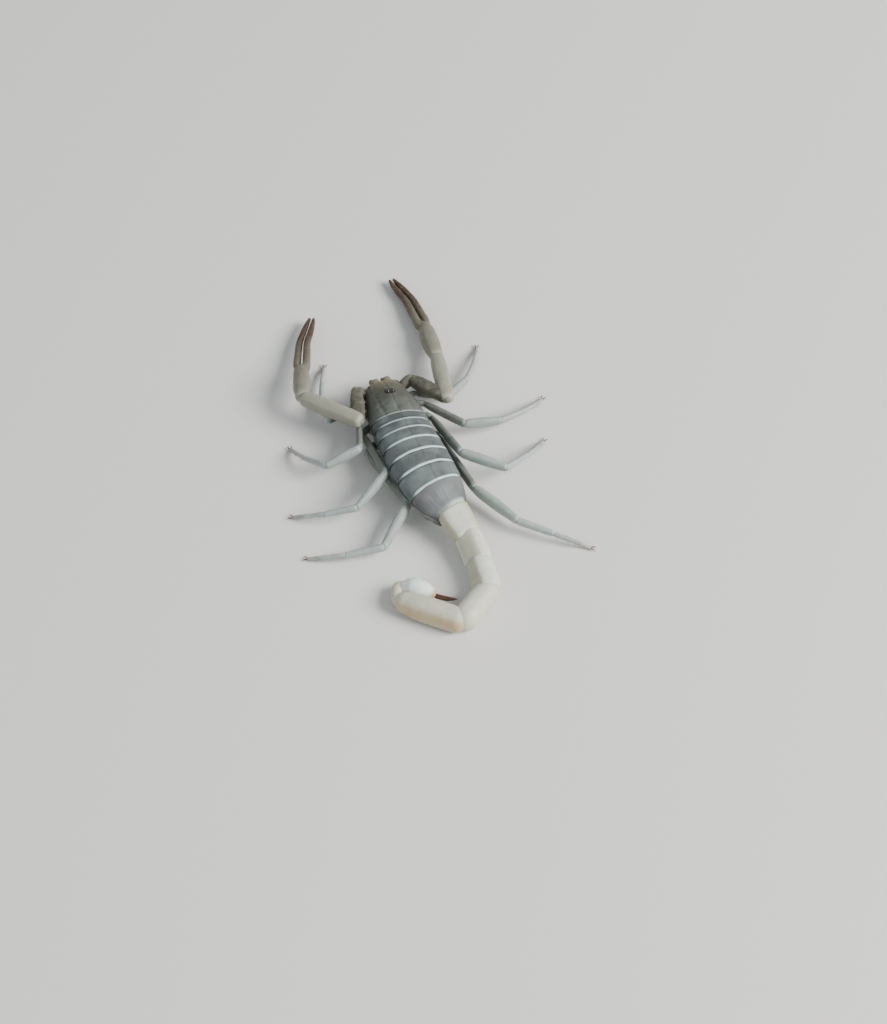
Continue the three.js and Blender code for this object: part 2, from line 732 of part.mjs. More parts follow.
/** Comb under the belly, as the flat blade that its teeth fill. */
function buildPectine(side, sign) {
  const start = sectionPoint(0.9, sign * 0.35, 0.44);
  const way = sectionPoint(2.5, sign * 2.1, 0.56).sub(start).normalize();
  const joints = [start, start.clone().addScaledVector(way, 2.5)];
  const row = (past, wide) => ({ joint: 0, past, wide, high: 0.2 });
  add(`pectine_${side}`, limb({
    sides: 8,
    square: 0.6,
    joints,
    rows: [row(0, 0.25), row(0.5, 0.42), row(1.7, 0.4), row(2.3, 0.3), row(2.5, 0.2)],
  }), COLOURS.claw, start);
}

// ---- assembly ----

buildCarapace();
buildTrunk();
buildTergites();
for (const [side, sign] of [["left", 1], ["right", -1]]) {
  buildChelicera(side, sign);
  buildPincer(side, sign);
  for (let i = 0; i < LEG_LENGTHS.length; i += 1) {
    buildLeg(side, sign, i);
  }
  buildPectine(side, sign);
}
buildTail();

scorpion.updateMatrixWorld(true);
const box = new THREE.Box3().setFromObject(scorpion, true);
const middle = box.getCenter(new THREE.Vector3());
scorpion.position.set(-middle.x, -middle.y, -box.min.z);

export default scorpion;
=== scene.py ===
# A pale desert scorpion at rest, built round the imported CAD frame.
# Lengths are in millimetres and turn into metres when a mesh is made.

import math
from functools import partial

import bpy
import numpy as np
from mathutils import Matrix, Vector


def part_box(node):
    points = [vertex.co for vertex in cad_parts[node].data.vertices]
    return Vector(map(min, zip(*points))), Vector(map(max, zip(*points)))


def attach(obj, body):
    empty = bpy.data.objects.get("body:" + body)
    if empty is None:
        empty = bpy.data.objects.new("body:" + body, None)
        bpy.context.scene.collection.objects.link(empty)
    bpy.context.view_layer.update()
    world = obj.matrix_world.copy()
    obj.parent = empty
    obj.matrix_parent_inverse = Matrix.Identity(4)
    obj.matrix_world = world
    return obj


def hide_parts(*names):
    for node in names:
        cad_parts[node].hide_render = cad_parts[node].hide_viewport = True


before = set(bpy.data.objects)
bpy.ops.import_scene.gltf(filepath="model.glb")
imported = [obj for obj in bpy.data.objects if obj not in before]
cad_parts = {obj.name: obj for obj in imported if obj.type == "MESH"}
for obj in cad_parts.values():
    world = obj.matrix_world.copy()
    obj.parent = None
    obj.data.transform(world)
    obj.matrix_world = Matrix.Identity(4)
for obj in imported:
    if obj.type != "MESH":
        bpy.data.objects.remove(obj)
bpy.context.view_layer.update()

MM = 0.001
TURN = 2 * math.pi
UP = np.array([0.0, 0.0, 1.0])
LEVEL = np.array([1.0, 1.0, 0.0])  # takes the height out of a direction
EVEN = np.eye(3)  # axes of a form that isn't turned
SIDES = {"left": 1.0, "right": -1.0}

# What part.mjs says of its own solids: sides of each tube, and the inset of the trunk under the plates.
CAD_SIDES = {"trunk": 20, "leg": 8, "palp": 10, "finger": 8, "tail": 12, "vesicle": 10, "sting": 8,
             "pectine": 8}
PLATE_INSET = 0.28
TERGITES = range(1, 8)


# ---- small maths ----

def unit(v):
    """Vectors of length one along the last axis."""
    v = np.asarray(v, float)
    return v / np.maximum(np.linalg.norm(v, axis=-1, keepdims=True), 1e-12)


def smooth(xs, ys, x):
    """Smooth curve through the points (xs, ys), read at x. ys may hold numbers or vectors."""
    xs, ys, x = np.asarray(xs, float), np.asarray(ys, float), np.asarray(x, float)
    flat = ys.ndim == 1
    if flat:
        ys = ys[:, None]
    before = np.maximum(np.arange(len(xs)) - 1, 0)
    after = np.minimum(np.arange(len(xs)) + 1, len(xs) - 1)
    slopes = (ys[after] - ys[before]) / (xs[after] - xs[before])[:, None]
    i = np.clip(np.searchsorted(xs, x, side="right") - 1, 0, len(xs) - 2)
    span = (xs[i + 1] - xs[i])[..., None]
    t = np.clip((x[..., None] - xs[i][..., None]) / span, 0, 1)
    rise = t * t * (3 - 2 * t)
    out = ys[i] + (ys[i + 1] - ys[i]) * rise
    out = out + span * (slopes[i] * t * (1 - t) ** 2 - slopes[i + 1] * t * t * (1 - t))
    return out[..., 0] if flat else out


def keyed(keys, x):
    """Smooth value at x of a list of (place, value) keys."""
    return smooth([k[0] for k in keys], [k[1] for k in keys], x)


def step(x, low, high):
    """0 below low, 1 above high, and smooth between."""
    t = np.clip((np.asarray(x, float) - low) / (high - low), 0, 1)
    return t * t * (3 - 2 * t)


def ridge(x, middle, width):
    """Bell of height one round a place."""
    return np.exp(-(((x - middle) / width) ** 2))


PRIMES = (73856093, 19349663, 83492791, 49979687)
MIXER = np.uint64(1274126177)


def scramble(*whole):
    """Repeatable numbers between 0 and 1 from up to four whole numbers."""
    mixed = np.zeros(np.broadcast(*whole).shape, np.uint64)
    for number, prime in zip(whole, PRIMES):
        mixed = mixed ^ (np.asarray(number, np.int64).astype(np.uint64) * np.uint64(prime))
        mixed = (mixed ^ (mixed >> np.uint64(13))) * MIXER & np.uint64(0xFFFFFFFF)
    mixed = mixed ^ (mixed >> np.uint64(16))
    return (mixed & np.uint64(0xFFFFFF)).astype(float) / 0xFFFFFF


def noise(points, size, seed=0):
    """Smooth noise between -1 and 1, with blobs of about the given size."""
    p = np.asarray(points, float) / size
    cell = np.floor(p).astype(np.int64)
    f = p - cell
    f = f * f * (3 - 2 * f)
    total = 0.0
    for corner in np.ndindex(2, 2, 2):
        value = scramble(*np.moveaxis(cell + corner, -1, 0), np.int64(seed))
        total = total + np.prod(np.where(corner, f, 1 - f), axis=-1) * value
    return total * 2 - 1


def granules(u, v, size, fill=0.6, seed=0):
    """Low round grains, 0 to 1 high, scattered over a surface measured by u and v."""
    cu, cv = np.floor(u / size).astype(np.int64), np.floor(v / size).astype(np.int64)
    best = np.zeros(np.broadcast(u, v).shape)
    for du, dv in np.ndindex(3, 3):
        iu, iv = cu + du - 1, cv + dv - 1
        chance, beside, above, big = (scramble(iu, iv, np.int64(seed + k)) for k in range(4))
        middle_u, middle_v = (iu + 0.2 + 0.6 * beside) * size, (iv + 0.2 + 0.6 * above) * size
        away = ((u - middle_u) ** 2 + (v - middle_v) ** 2) / (size * (0.24 + 0.24 * big)) ** 2
        best = np.maximum(best, np.where(chance < fill, np.clip(1 - away, 0, 1) ** 1.2, 0))
    return best


def paint(pigment, pale, warm):
    """Tints of a surface, from how much it takes of the pigment, the pale and the warm stain."""
    return np.clip(np.stack(np.broadcast_arrays(pigment, pale, warm), -1), 0, 1)


# ---- reading the CAD solids ----

def box_middle(node):
    """Middle of a CAD node's box."""
    low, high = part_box(node)
    return (np.array(low) + np.array(high)) / 2 / MM


def corners(node):
    """Corner points of a CAD node's mesh."""
    return np.array([v.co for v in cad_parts[node].data.vertices]) / MM


def cad_rings(node, sides, near):
    """Rings of a CAD tube from the cap nearest to a place, and the middles of its two caps."""
    spots, merged = np.unique(corners(node).round(3), axis=0, return_inverse=True)
    merged = merged.ravel()
    around = [set() for _ in spots]
    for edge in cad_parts[node].data.edges:
        a, b = merged[edge.vertices[0]], merged[edge.vertices[1]]
        if a != b:
            around[a].add(b)
            around[b].add(a)
    caps = [i for i, ring in enumerate(around) if len(ring) == sides]
    caps.sort(key=lambda i: np.linalg.norm(spots[i] - near))
    seen, level, rings = {caps[0]}, [caps[0]], []
    while True:
        level = sorted({n for i in level for n in around[i]} - seen)
        if len(level) < sides:
            break
        seen.update(level)
        rings.append(spots[level])
    return rings, spots[caps[0]], spots[caps[-1]]


def thin_way(ring, way):
    """Direction of a ring's shorter axis, seen along way."""
    flat = ring - ring.mean(0)
    return np.linalg.svd(flat - np.outer(flat @ way, way))[2][1]


# ---- making meshes ----

class Shape:
    """Gathers closed surfaces, with their tints, into one piece."""

    def __init__(self):
        self.points, self.faces, self.tints, self.count = [], [], [], 0

    def add(self, points, faces, tint):
        points = np.asarray(points, float).reshape(-1, 3)
        self.points.append(points)
        self.faces.append((faces, self.count))
        self.tints.append(np.broadcast_to(np.asarray(tint, float), (len(points), 3)))
        self.count += len(points)

    def close(self, grid, tint):
        """Adds a closed form from a grid of rings. The first and the last draw together to a point."""
        tint = np.broadcast_to(np.asarray(tint, float), grid.shape)
        points = [grid[:1].mean(1), grid[1:-1].reshape(-1, 3), grid[-1:].mean(1)]
        tints = [tint[0, :1], tint[1:-1].reshape(-1, 3), tint[-1, :1]]
        self.add(np.concatenate(points), tube_faces(len(grid) - 2, grid.shape[1]), np.concatenate(tints))

    def piece(self, name, material, slot, *stands_for):
        """One object of all that was gathered, riding on the part's only body."""
        mesh = bpy.data.meshes.new(name)
        faces = [tuple(i + start for i in face) for group, start in self.faces for face in group]
        points = np.concatenate(self.points)
        points[:, 2] = np.maximum(points[:, 2], 0)  # what rests on the floor is flat there
        mesh.from_pydata((points * MM).tolist(), [], faces)
        mesh.validate()
        tints = np.concatenate(self.tints)
        colour = mesh.color_attributes.new("tint", "FLOAT_COLOR", "POINT")
        colour.data.foreach_set("color", np.c_[tints, np.ones(len(tints))].ravel().astype(np.float32))
        mesh.shade_smooth()
        mesh.materials.append(FINISH[material])
        piece = bpy.data.objects.new(name, mesh)
        bpy.context.scene.collection.objects.link(piece)
        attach(piece, "root")
        if stands_for:
            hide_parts(*stands_for)
        return piece


def tube_faces(rings, sides):
    """Faces of a tube of rings between two poles, whose points come first and last."""
    last = 1 + rings * sides
    faces = [(0, 1 + (j + 1) % sides, 1 + j) for j in range(sides)]
    for i in range(rings - 1):
        a, b = 1 + i * sides, 1 + (i + 1) * sides
        faces += [(a + j, a + (j + 1) % sides, b + (j + 1) % sides, b + j) for j in range(sides)]
    a = last - sides
    faces += [(a + j, a + (j + 1) % sides, last) for j in range(sides)]
    return faces


class Spine:
    """Centre line through points, with the direction of its upper side, measured by length along it."""

    def __init__(self, points, tops):
        self.points = np.asarray(points, float)
        self.tops = np.broadcast_to(np.asarray(tops, float), self.points.shape)
        legs = np.linalg.norm(np.diff(self.points, axis=0), axis=1)
        self.knots = np.concatenate([[0], np.cumsum(legs)])
        self.length = self.knots[-1]

    def centre(self, s):
        return smooth(self.knots, self.points, s)

    def frames(self, s):
        """Centre, side, top and way at each place along the line."""
        reach = self.length * 0.01
        ahead, behind = np.minimum(s + reach, self.length), np.maximum(s - reach, 0)
        way = unit(self.centre(ahead) - self.centre(behind))
        top = smooth(self.knots, self.tops, s)
        top = unit(top - (top * way).sum(-1, keepdims=True) * way)
        return self.centre(s), np.cross(top, way), top, way


def stations(length, start_cap, end_cap, spacing, cap_rings=5):
    """Places along a closed form, and how far its round ends have opened there, from 0 to 1."""
    turn = np.linspace(0, math.pi / 2, cap_rings + 1)
    start, end = start_cap * (1 - np.cos(turn)), length - end_cap * (1 - np.cos(turn))
    count = max(2, int((length - start_cap - end_cap) / spacing))
    inner = np.linspace(start_cap, length - end_cap, count + 1)[1:-1]
    places = np.concatenate([start, inner, end[::-1]])
    opening = np.concatenate([np.sin(turn), np.ones(len(inner)), np.sin(turn)[::-1]])
    return places, opening


def tube(shape, spine, wide, high, sides=24, caps=(0.1, 0.1), square=1.0, spacing=0.08, relief=None,
         tint=(0, 0, 0)):
    """
    Closed form along a spine. wide and high are (share of the length, half size) keys. relief(s, angle,
    points, girth) lifts its surface, tint(share, angle, points) colours it. Returns its grid of points,
    normals and ways for hairs.
    """
    s, opening = stations(spine.length, *caps, spacing)
    centre, side, top, way = spine.frames(s)
    half_wide, half_high = ((keyed(keys, s / spine.length) * opening)[:, None] for keys in (wide, high))
    angle, along = np.meshgrid(np.linspace(0, TURN, sides, endpoint=False), s)
    cos, sin = np.cos(angle), np.sin(angle)
    across = half_wide * (np.sign(cos) * np.abs(cos) ** square)
    above = half_high * (np.sign(sin) * np.abs(sin) ** square)
    points = centre[:, None] + side[:, None] * across[..., None] + top[:, None] * above[..., None]
    normal = unit(side[:, None] * (cos * half_high + 1e-9)[..., None]
                  + top[:, None] * (sin * half_wide + 1e-9)[..., None])
    if relief is not None:
        lift = relief(along, angle, points, (half_wide + half_high) / 2 + 0 * angle)
        points = points + normal * (lift * opening[:, None])[..., None]
    shape.close(points, tint(along / spine.length, angle, points) if callable(tint) else tint)
    return {"points": points, "normal": normal, "way": way, "s": s}


def sheet_faces(rows, columns):
    """Faces of two grids that share their border: the outer one comes first."""
    def at(i, j, layer):
        border = i in (0, rows - 1) or j in (0, columns - 1)
        return i * columns + j + (0 if border or layer == 0 else rows * columns)
    faces = []
    for i in range(rows - 1):
        for j in range(columns - 1):
            faces.append((at(i, j, 0), at(i, j + 1, 0), at(i + 1, j + 1, 0), at(i + 1, j, 0)))
            faces.append((at(i, j, 1), at(i + 1, j, 1), at(i + 1, j + 1, 1), at(i, j + 1, 1)))
    return faces


def sheet(shape, outer, thickness, opening, tint):
    """Plate with round rims. outer is its grid of outer points, opening is 0 at the rims and 1 inside."""
    normal = unit(np.cross(np.gradient(outer, axis=1), np.gradient(outer, axis=0)))
    face = outer - normal * (thickness * (1 - opening) / 2)[..., None]
    back = face - normal * (thickness * opening)[..., None]
    layers = np.concatenate([face.reshape(-1, 3), back.reshape(-1, 3)])
    shape.add(layers, sheet_faces(*outer.shape[:2]), np.tile(tint.reshape(-1, 3), (2, 1)))


def rims(length, radius, spacing):
    """Places across a plate, bunched in its round rims, and how far the rim has opened."""
    return stations(length, radius, radius, spacing, cap_rings=4)


def ball(shape, centre, radii, axes=EVEN, tint=(0, 0, 0), rings=14, sides=22):
    """Smooth rounded body with three half sizes along three axes."""
    lon, lat = np.meshgrid(np.linspace(0, TURN, sides, endpoint=False),
                           np.linspace(-math.pi / 2, math.pi / 2, rings + 2))
    local = np.stack([np.cos(lat) * np.cos(lon), np.cos(lat) * np.sin(lon), np.sin(lat)], -1)
    shape.close(np.asarray(centre) + local * radii @ np.asarray(axes, float), tint)


def joint(shape, spot, radius, tint=(0.15, 0.3, 0)):
    """Soft joint skin between two hard parts."""
    ball(shape, spot, (radius,) * 3, EVEN, tint, rings=8, sides=14)


# ---- finishes ----

SCATTER_RADIUS = (0.0005, 0.00038, 0.00026)  # metres, in red, green and blue


def new_surface(name):
    """New material, its shader, and functions that link sockets, add a node and add a cloud of noise."""
    material = bpy.data.materials.new(name)
    material.use_nodes = True
    nodes, link = material.node_tree.nodes, material.node_tree.links.new
    place = nodes.new("ShaderNodeTexCoord").outputs["Object"]

    def add(kind, values):
        """New node. A value is a number or a socket to link."""
        node = nodes.new("ShaderNode" + kind)
        for key, value in values.items():
            if isinstance(value, bpy.types.NodeSocket):
                link(value, node.inputs[key])
            else:
                node.inputs[key].default_value = value
        return node

    def cloud(scale, detail, rough=0.6):
        values = {"Scale": scale, "Detail": detail, "Roughness": rough, "Vector": place}
        return add("TexNoise", values).outputs["Fac"]

    return material, nodes["Principled BSDF"], link, add, cloud


def cuticle(name, base, pigment, pale, warm, rough=0.5, scatter=0.25, mottle=0.1, grain=0.5):
    """Translucent cuticle. The tint's red lays on pigment, its green a pale band, its blue a warm stain."""
    material, shader, link, add, cloud = new_surface(name)
    tint = add("Attribute", {})
    tint.attribute_name = "tint"
    amounts = add("SeparateColor", {"Color": tint.outputs["Color"]}).outputs

    def mix(factor, under, over):
        node = add("Mix", {0: factor})
        node.data_type = "RGBA"
        for socket, value in ((node.inputs[6], under), (node.inputs[7], over)):
            if isinstance(value, tuple):
                socket.default_value = (*value, 1)
            else:
                link(value, socket)
        return node.outputs[2]

    def spread(value, low, high, to_low, to_high):
        values = {"Value": value, "From Min": low, "From Max": high, "To Min": to_low, "To Max": to_high}
        return add("MapRange", values).outputs["Result"]

    def shaded(factor):
        return tuple(min(1.0, c * factor) for c in base)

    patches = spread(cloud(1400, 4), 0.35, 0.65, 0, 1)
    ground = mix(patches, shaded(1 - mottle), shaded(1 + mottle))
    specks = spread(cloud(9000, 3, 0.7), 0.55, 0.75, 0, mottle * 1.6)
    ground = mix(specks, ground, pigment)
    for amount, colour in zip(amounts, (pigment, pale, warm)):
        ground = mix(amount, ground, colour)
    link(ground, shader.inputs["Base Color"])
    link(spread(cloud(5000, 3), 0.3, 0.7, rough - 0.08, rough + 0.1), shader.inputs["Roughness"])
    fine = add("Bump", {"Strength": grain, "Distance": 0.00001, "Height": cloud(30000, 4)})
    broad = add("Bump", {"Strength": grain, "Distance": 0.00003, "Height": cloud(6000, 3),
                         "Normal": fine.outputs["Normal"]})
    link(broad.outputs["Normal"], shader.inputs["Normal"])
    for key, value in (("Subsurface Weight", scatter), ("Subsurface Radius", SCATTER_RADIUS),
                       ("Subsurface Scale", 1.0), ("Specular IOR Level", 0.32)):
        shader.inputs[key].default_value = value
    return material


def glossy(name, colour, rough, coat=0.6):
    """Dark shining cuticle of eyes and sting, with a faint change of colour over it."""
    material, shader, link, add, cloud = new_surface(name)
    ramp = add("ValToRGB", {"Fac": cloud(4000, 3, 0.5)})
    for stop, place, factor in zip(ramp.color_ramp.elements, (0.3, 0.7), (0.6, 1.5)):
        stop.position = place
        stop.color = (*[min(1, c * factor) for c in colour], 1)
    link(ramp.outputs["Color"], shader.inputs["Base Color"])
    for key, value in (("Roughness", rough), ("Coat Weight", coat), ("Coat Roughness", 0.08)):
        shader.inputs[key].default_value = value
    return material


# Colours of each cuticle: its own, the pigment, the pale and the warm stain.
PALE = (0.61, 0.76, 0.74)
CREAM = (0.36, 0.35, 0.27)
WARM = (0.50, 0.35, 0.16)
CUTICLES = {
    "carapace": ((0.078, 0.082, 0.066), (0.022, 0.013, 0.016), PALE, (0.185, 0.16, 0.092)),
    "back": ((0.090, 0.103, 0.103), (0.043, 0.043, 0.042), PALE, (0.18, 0.16, 0.162)),
    "flesh": ((0.165, 0.170, 0.148), (0.070, 0.072, 0.060), PALE, CREAM),
    "belly": ((0.34, 0.335, 0.25), (0.14, 0.12, 0.075), PALE, (0.34, 0.20, 0.10)),
    "tail": ((0.53, 0.525, 0.375), (0.25, 0.19, 0.085), (0.80, 0.90, 0.87), WARM),
    "leg": ((0.205, 0.226, 0.205), (0.066, 0.070, 0.051), (0.50, 0.60, 0.585), WARM),
    "claw": ((0.230, 0.226, 0.170), (0.062, 0.062, 0.046), (0.50, 0.50, 0.41), (0.050, 0.026, 0.017)),
}
# Roughness, scatter and mottling, where they aren't the usual ones.
FEEL = {
    "back": {"mottle": 0.18},
    "flesh": {"rough": 0.55, "scatter": 0.3},
    "tail": {"scatter": 0.35, "mottle": 0.06},
    "leg": {"scatter": 0.35},
    "claw": {"scatter": 0.3},
}
FINISH = {name: cuticle("cuticle_" + name, *colours, **FEEL.get(name, {}))
          for name, colours in CUTICLES.items()}
FINISH["sting"] = glossy("cuticle_sting", (0.07, 0.022, 0.013), 0.22)
FINISH["eye"] = glossy("eye_lens", (0.012, 0.007, 0.012), 0.16, 0.5)
FINISH["hair"] = glossy("hair", (0.30, 0.21, 0.12), 0.4, 0.0)


# ---- the body's own measure, read from the trunk ----

ON_MIDDLE = 0.03  # corners this near to a section's middle line are its top and bottom
PLATE_CORNER = 5  # corner of half a section, counted from the top, that the plates' edge lies over
ARCH = 0.9  # power that rounds the plates' arch
ROUNDED = 0.35  # how far the soft trunk's corners are rounded


class Body:
    """Sections of the trunk's CAD node from the front to the rear, each in its own leaning axes."""

    def __init__(self):
        rings = cad_rings("trunk", CAD_SIDES["trunk"], box_middle("median_eye_left"))[0]
        self.middle = np.array([ring.mean(0) for ring in rings])
        gaps = np.linalg.norm(np.diff(self.middle[:, :2], axis=0), axis=1)
        self.s = np.concatenate([[0], np.cumsum(gaps)])
        self.left, self.up, self.half = [], [], []
        for ring, middle in zip(rings, self.middle):
            axes = np.linalg.svd(ring - middle)[2]
            left = axes[0] * np.sign(axes[0][0])
            up = axes[1] * np.sign(axes[1][2])
            x, z = (ring - middle) @ left, (ring - middle) @ up
            centre = z[np.abs(x) < ON_MIDDLE]
            order = [i for i in np.argsort(-np.arctan2(z, x)) if x[i] > ON_MIDDLE]
            self.left.append(left)
            self.up.append(up)
            self.half.append([(0, max(centre)), *zip(x[order], z[order]), (0, min(centre))])
        self.left, self.up, self.half = map(np.array, (self.left, self.up, self.half))
        self.plate = self.half[:, PLATE_CORNER, 0] + PLATE_INSET
        self.edge = self.half[:, PLATE_CORNER, 1]
        self.top = self.half[:, 0, 1] + PLATE_INSET

    def axes(self, s):
        """Middle, left and up at each place along the body."""
        middle, left, up = (smooth(self.s, rows, s) for rows in (self.middle, self.left, self.up))
        return middle, unit(left), unit(up)

    def place(self, s, x, z):
        """Point at x to the animal's left and z above the section's middle."""
        s, x, z = np.broadcast_arrays(s, x, z)
        middle, left, up = self.axes(s)
        return middle + left * x[..., None] + up * z[..., None]

    def back(self, s, angle):
        """Point of the plates' outer surface, angle 0 at the left edge and pi at the right."""
        edge, wide, top = (smooth(self.s, rows, s) for rows in (self.edge, self.plate, self.top))
        return self.place(s, wide * np.cos(angle), edge + (top - edge) * np.abs(np.sin(angle)) ** ARCH)

    def outline(self, s, turn):
        """Point of the trunk's own section, turn 0 at the top and growing round over the left side."""
        half = smooth(self.s, self.half.reshape(len(self.s), -1), s).reshape(*np.shape(s), -1, 2)
        last = half.shape[-2] - 1
        lap = np.mod(turn, TURN) / math.pi
        sign = np.where(lap > 1, -1.0, 1.0)
        at = np.where(lap > 1, 2 - lap, lap) * last
        i = np.clip(np.floor(at).astype(int), 0, last - 1)
        t = at - i
        t = t * t * (3 - 2 * t) * ROUNDED + t * (1 - ROUNDED)
        rows = np.broadcast_to(half, (*np.shape(at), *half.shape[-2:]))
        low, high = (np.take_along_axis(rows, k[..., None, None], -2)[..., 0, :] for k in (i, i + 1))
        xz = low + (high - low) * t[..., None]
        return self.place(s, sign * xz[..., 0], xz[..., 1])

    def along(self, node):
        """First and last place along the body that a CAD plate reaches."""
        spots = corners(node)
        places = np.linspace(0, self.s[-1], 900)
        line = smooth(self.s, self.middle, places)
        way = unit(np.gradient(line, axis=0) * LEVEL)
        ahead = ((spots[:, None] - line) * way).sum(-1)
        nearest = np.abs(ahead).argmin(1)
        found = places[nearest] + ahead[np.arange(len(spots)), nearest]
        return found.min(), found.max()


body = Body()
head_start, waist = body.along("carapace")
mound_s = sum(body.along("median_eye_left")) / 2
plate_ends = [body.along(f"tergite_{k}") for k in TERGITES]


# ---- carapace, eyes, back plates ----

BACK_SPACING = 0.045  # of the rows of points along the back
SIDE_RIM = 0.03


def back_plate(shape, start, end, thickness, lift, tint, corner, reach=0.0):
    """
    Arched plate over the back between two places. lift(s, x, share, spots, lap) raises its surface and
    tint(s, x, share, spots) colours it: x is to the left, share is 1 at the side edges, spots are the
    points and lap is the way round. corner rounds its hind corners, and reach carries its side edges down.
    """
    t, open_t = rims(end - start, thickness * 0.5, BACK_SPACING)
    a, open_a = rims(math.pi + 2 * reach, SIDE_RIM, BACK_SPACING / 2.2)
    angle = np.broadcast_to(math.pi + reach - a, (len(t), len(a)))
    s = start + t[:, None] * (1 - corner * np.abs(np.cos(angle)) ** 10 / (end - start))
    spots = body.back(s, angle)
    wide = smooth(body.s, body.plate, s)
    x = np.cos(angle) * wide
    share = np.abs(x) / wide
    outer = spots + unit(spots - body.axes(s)[0]) * lift(s, x, share, spots, angle * wide)[..., None]
    sheet(shape, outer, thickness, np.minimum(open_t[:, None], open_a), tint(s, x, share, spots))


def make_carapace():
    """Head shield with its furrows, the mound of the median eyes, grains and a bead along its rear."""
    length = waist - head_start

    def lift(s, x, share, spots, lap):
        t = (s - head_start) / length
        wide = smooth(body.s, body.plate, s)
        mound = 0.17 * ridge(x, 0, 0.44) * ridge(s, mound_s, 0.52)
        groove = -0.05 * ridge(x, 0, 0.06) * (1 - ridge(s, mound_s, 0.2))
        brow = 0.05 * ridge(np.abs(x), 0.25 + 0.1 * np.abs(s - mound_s), 0.07) * ridge(s, mound_s, 0.5)
        pit = -0.13 * ridge(x, 0, 0.34) * ridge(t, 0.83, 0.09)
        side_groove = -0.07 * ridge(share, 0.5 + 0.22 * (1 - t), 0.07) * step(t, 0.35, 0.55)
        cross_groove = -0.05 * ridge(t, 0.66 + 0.10 * share, 0.03) * step(share, 0.12, 0.4)
        rear = 0.035 * ridge(t, 0.985, 0.012) - 0.04 * ridge(t, 0.94, 0.02)
        front = 0.03 * ridge(t, 0.015, 0.015) - 0.02 * ridge(t, 0.06, 0.025)
        rim = 0.03 * ridge(share, 0.985, 0.02) - 0.02 * ridge(share, 0.93, 0.03)
        swell = 0.035 * noise(spots, 0.9, 3) + 0.012 * noise(spots, 0.3, 4)
        grains = 0.02 * granules(s, lap, 0.12, 0.6, 5) * (0.35 + 0.65 * step(t, 0.3, 0.6))
        grains = grains + 0.012 * granules(s, lap, 0.07, 0.5, 9)
        corner = -0.05 * ridge(np.abs(x), wide * 0.93, 0.3) * ridge(t, 0.05, 0.06)
        furrows = groove + pit + side_groove + cross_groove
        return mound + brow + furrows + rear + front + rim + swell + grains + corner

    def tint(s, x, share, spots):
        t = (s - head_start) / length
        round_eyes = 1 - step(np.hypot(x / 0.5, (s - mound_s) / 0.4), 0.8, 1.12)
        dusk = 0.08 * step(noise(spots, 0.7, 7), 0.0, 0.6) * step(t, 0.25, 0.6)
        pale = 0.22 * ridge(t, 1.0, 0.02) + 0.06 * step(t, 0.45, 0.9)
        warm = 0.75 * ridge(t, 0.02, 0.10) + 0.25 * step(0.5 - t, 0, 0.4) + 0.08 * noise(spots, 0.5, 8)
        return paint(0.97 * round_eyes + dusk, pale, warm)

    shape = Shape()
    back_plate(shape, head_start, waist + 0.04, 0.13, lift, tint, corner=0.25)
    shape.piece("carapace_shell", "carapace", "shell", "carapace")


SIDE_EYES = (0.07, 0.065, 0.05)  # radii, from the front


def make_eyes():
    """Shining median eyes, and three small side eyes at each front corner of the carapace."""
    up = body.axes(mound_s)[2]
    low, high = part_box("median_eye_left")
    radius = (high - low)[2] / 2 / MM
    for side in SIDES:
        shape = Shape()
        node = f"median_eye_{side}"
        ball(shape, box_middle(node) - up * 0.02, (radius,) * 3, rings=20, sides=32)
        shape.piece(f"eye_{side}", "eye", "eye", node)
    shape = Shape()
    for sign in SIDES.values():
        for k, radius in enumerate(SIDE_EYES):
            spot = body.back(head_start + 0.16 + 0.2 * k, math.radians(90 - sign * (62 - 2.5 * k)))
            ball(shape, spot, (radius,) * 3, rings=10, sides=16)
    shape.piece("side_eyes", "eye", "eye")


TUCK = 0.22  # how far a plate goes on under the one ahead
# Each back plate's pale rear band, how deep and how strong, and how light the plate itself is.
BANDS = {1: (0.10, 0.5, 0.03), 2: (0.12, 0.65, 0.04), 3: (0.17, 0.95, 0.05), 4: (0.19, 1.0, 0.06),
         5: (0.20, 1.05, 0.07), 6: (0.21, 1.08, 0.08), 7: (0.56, 1.15, 0.06)}


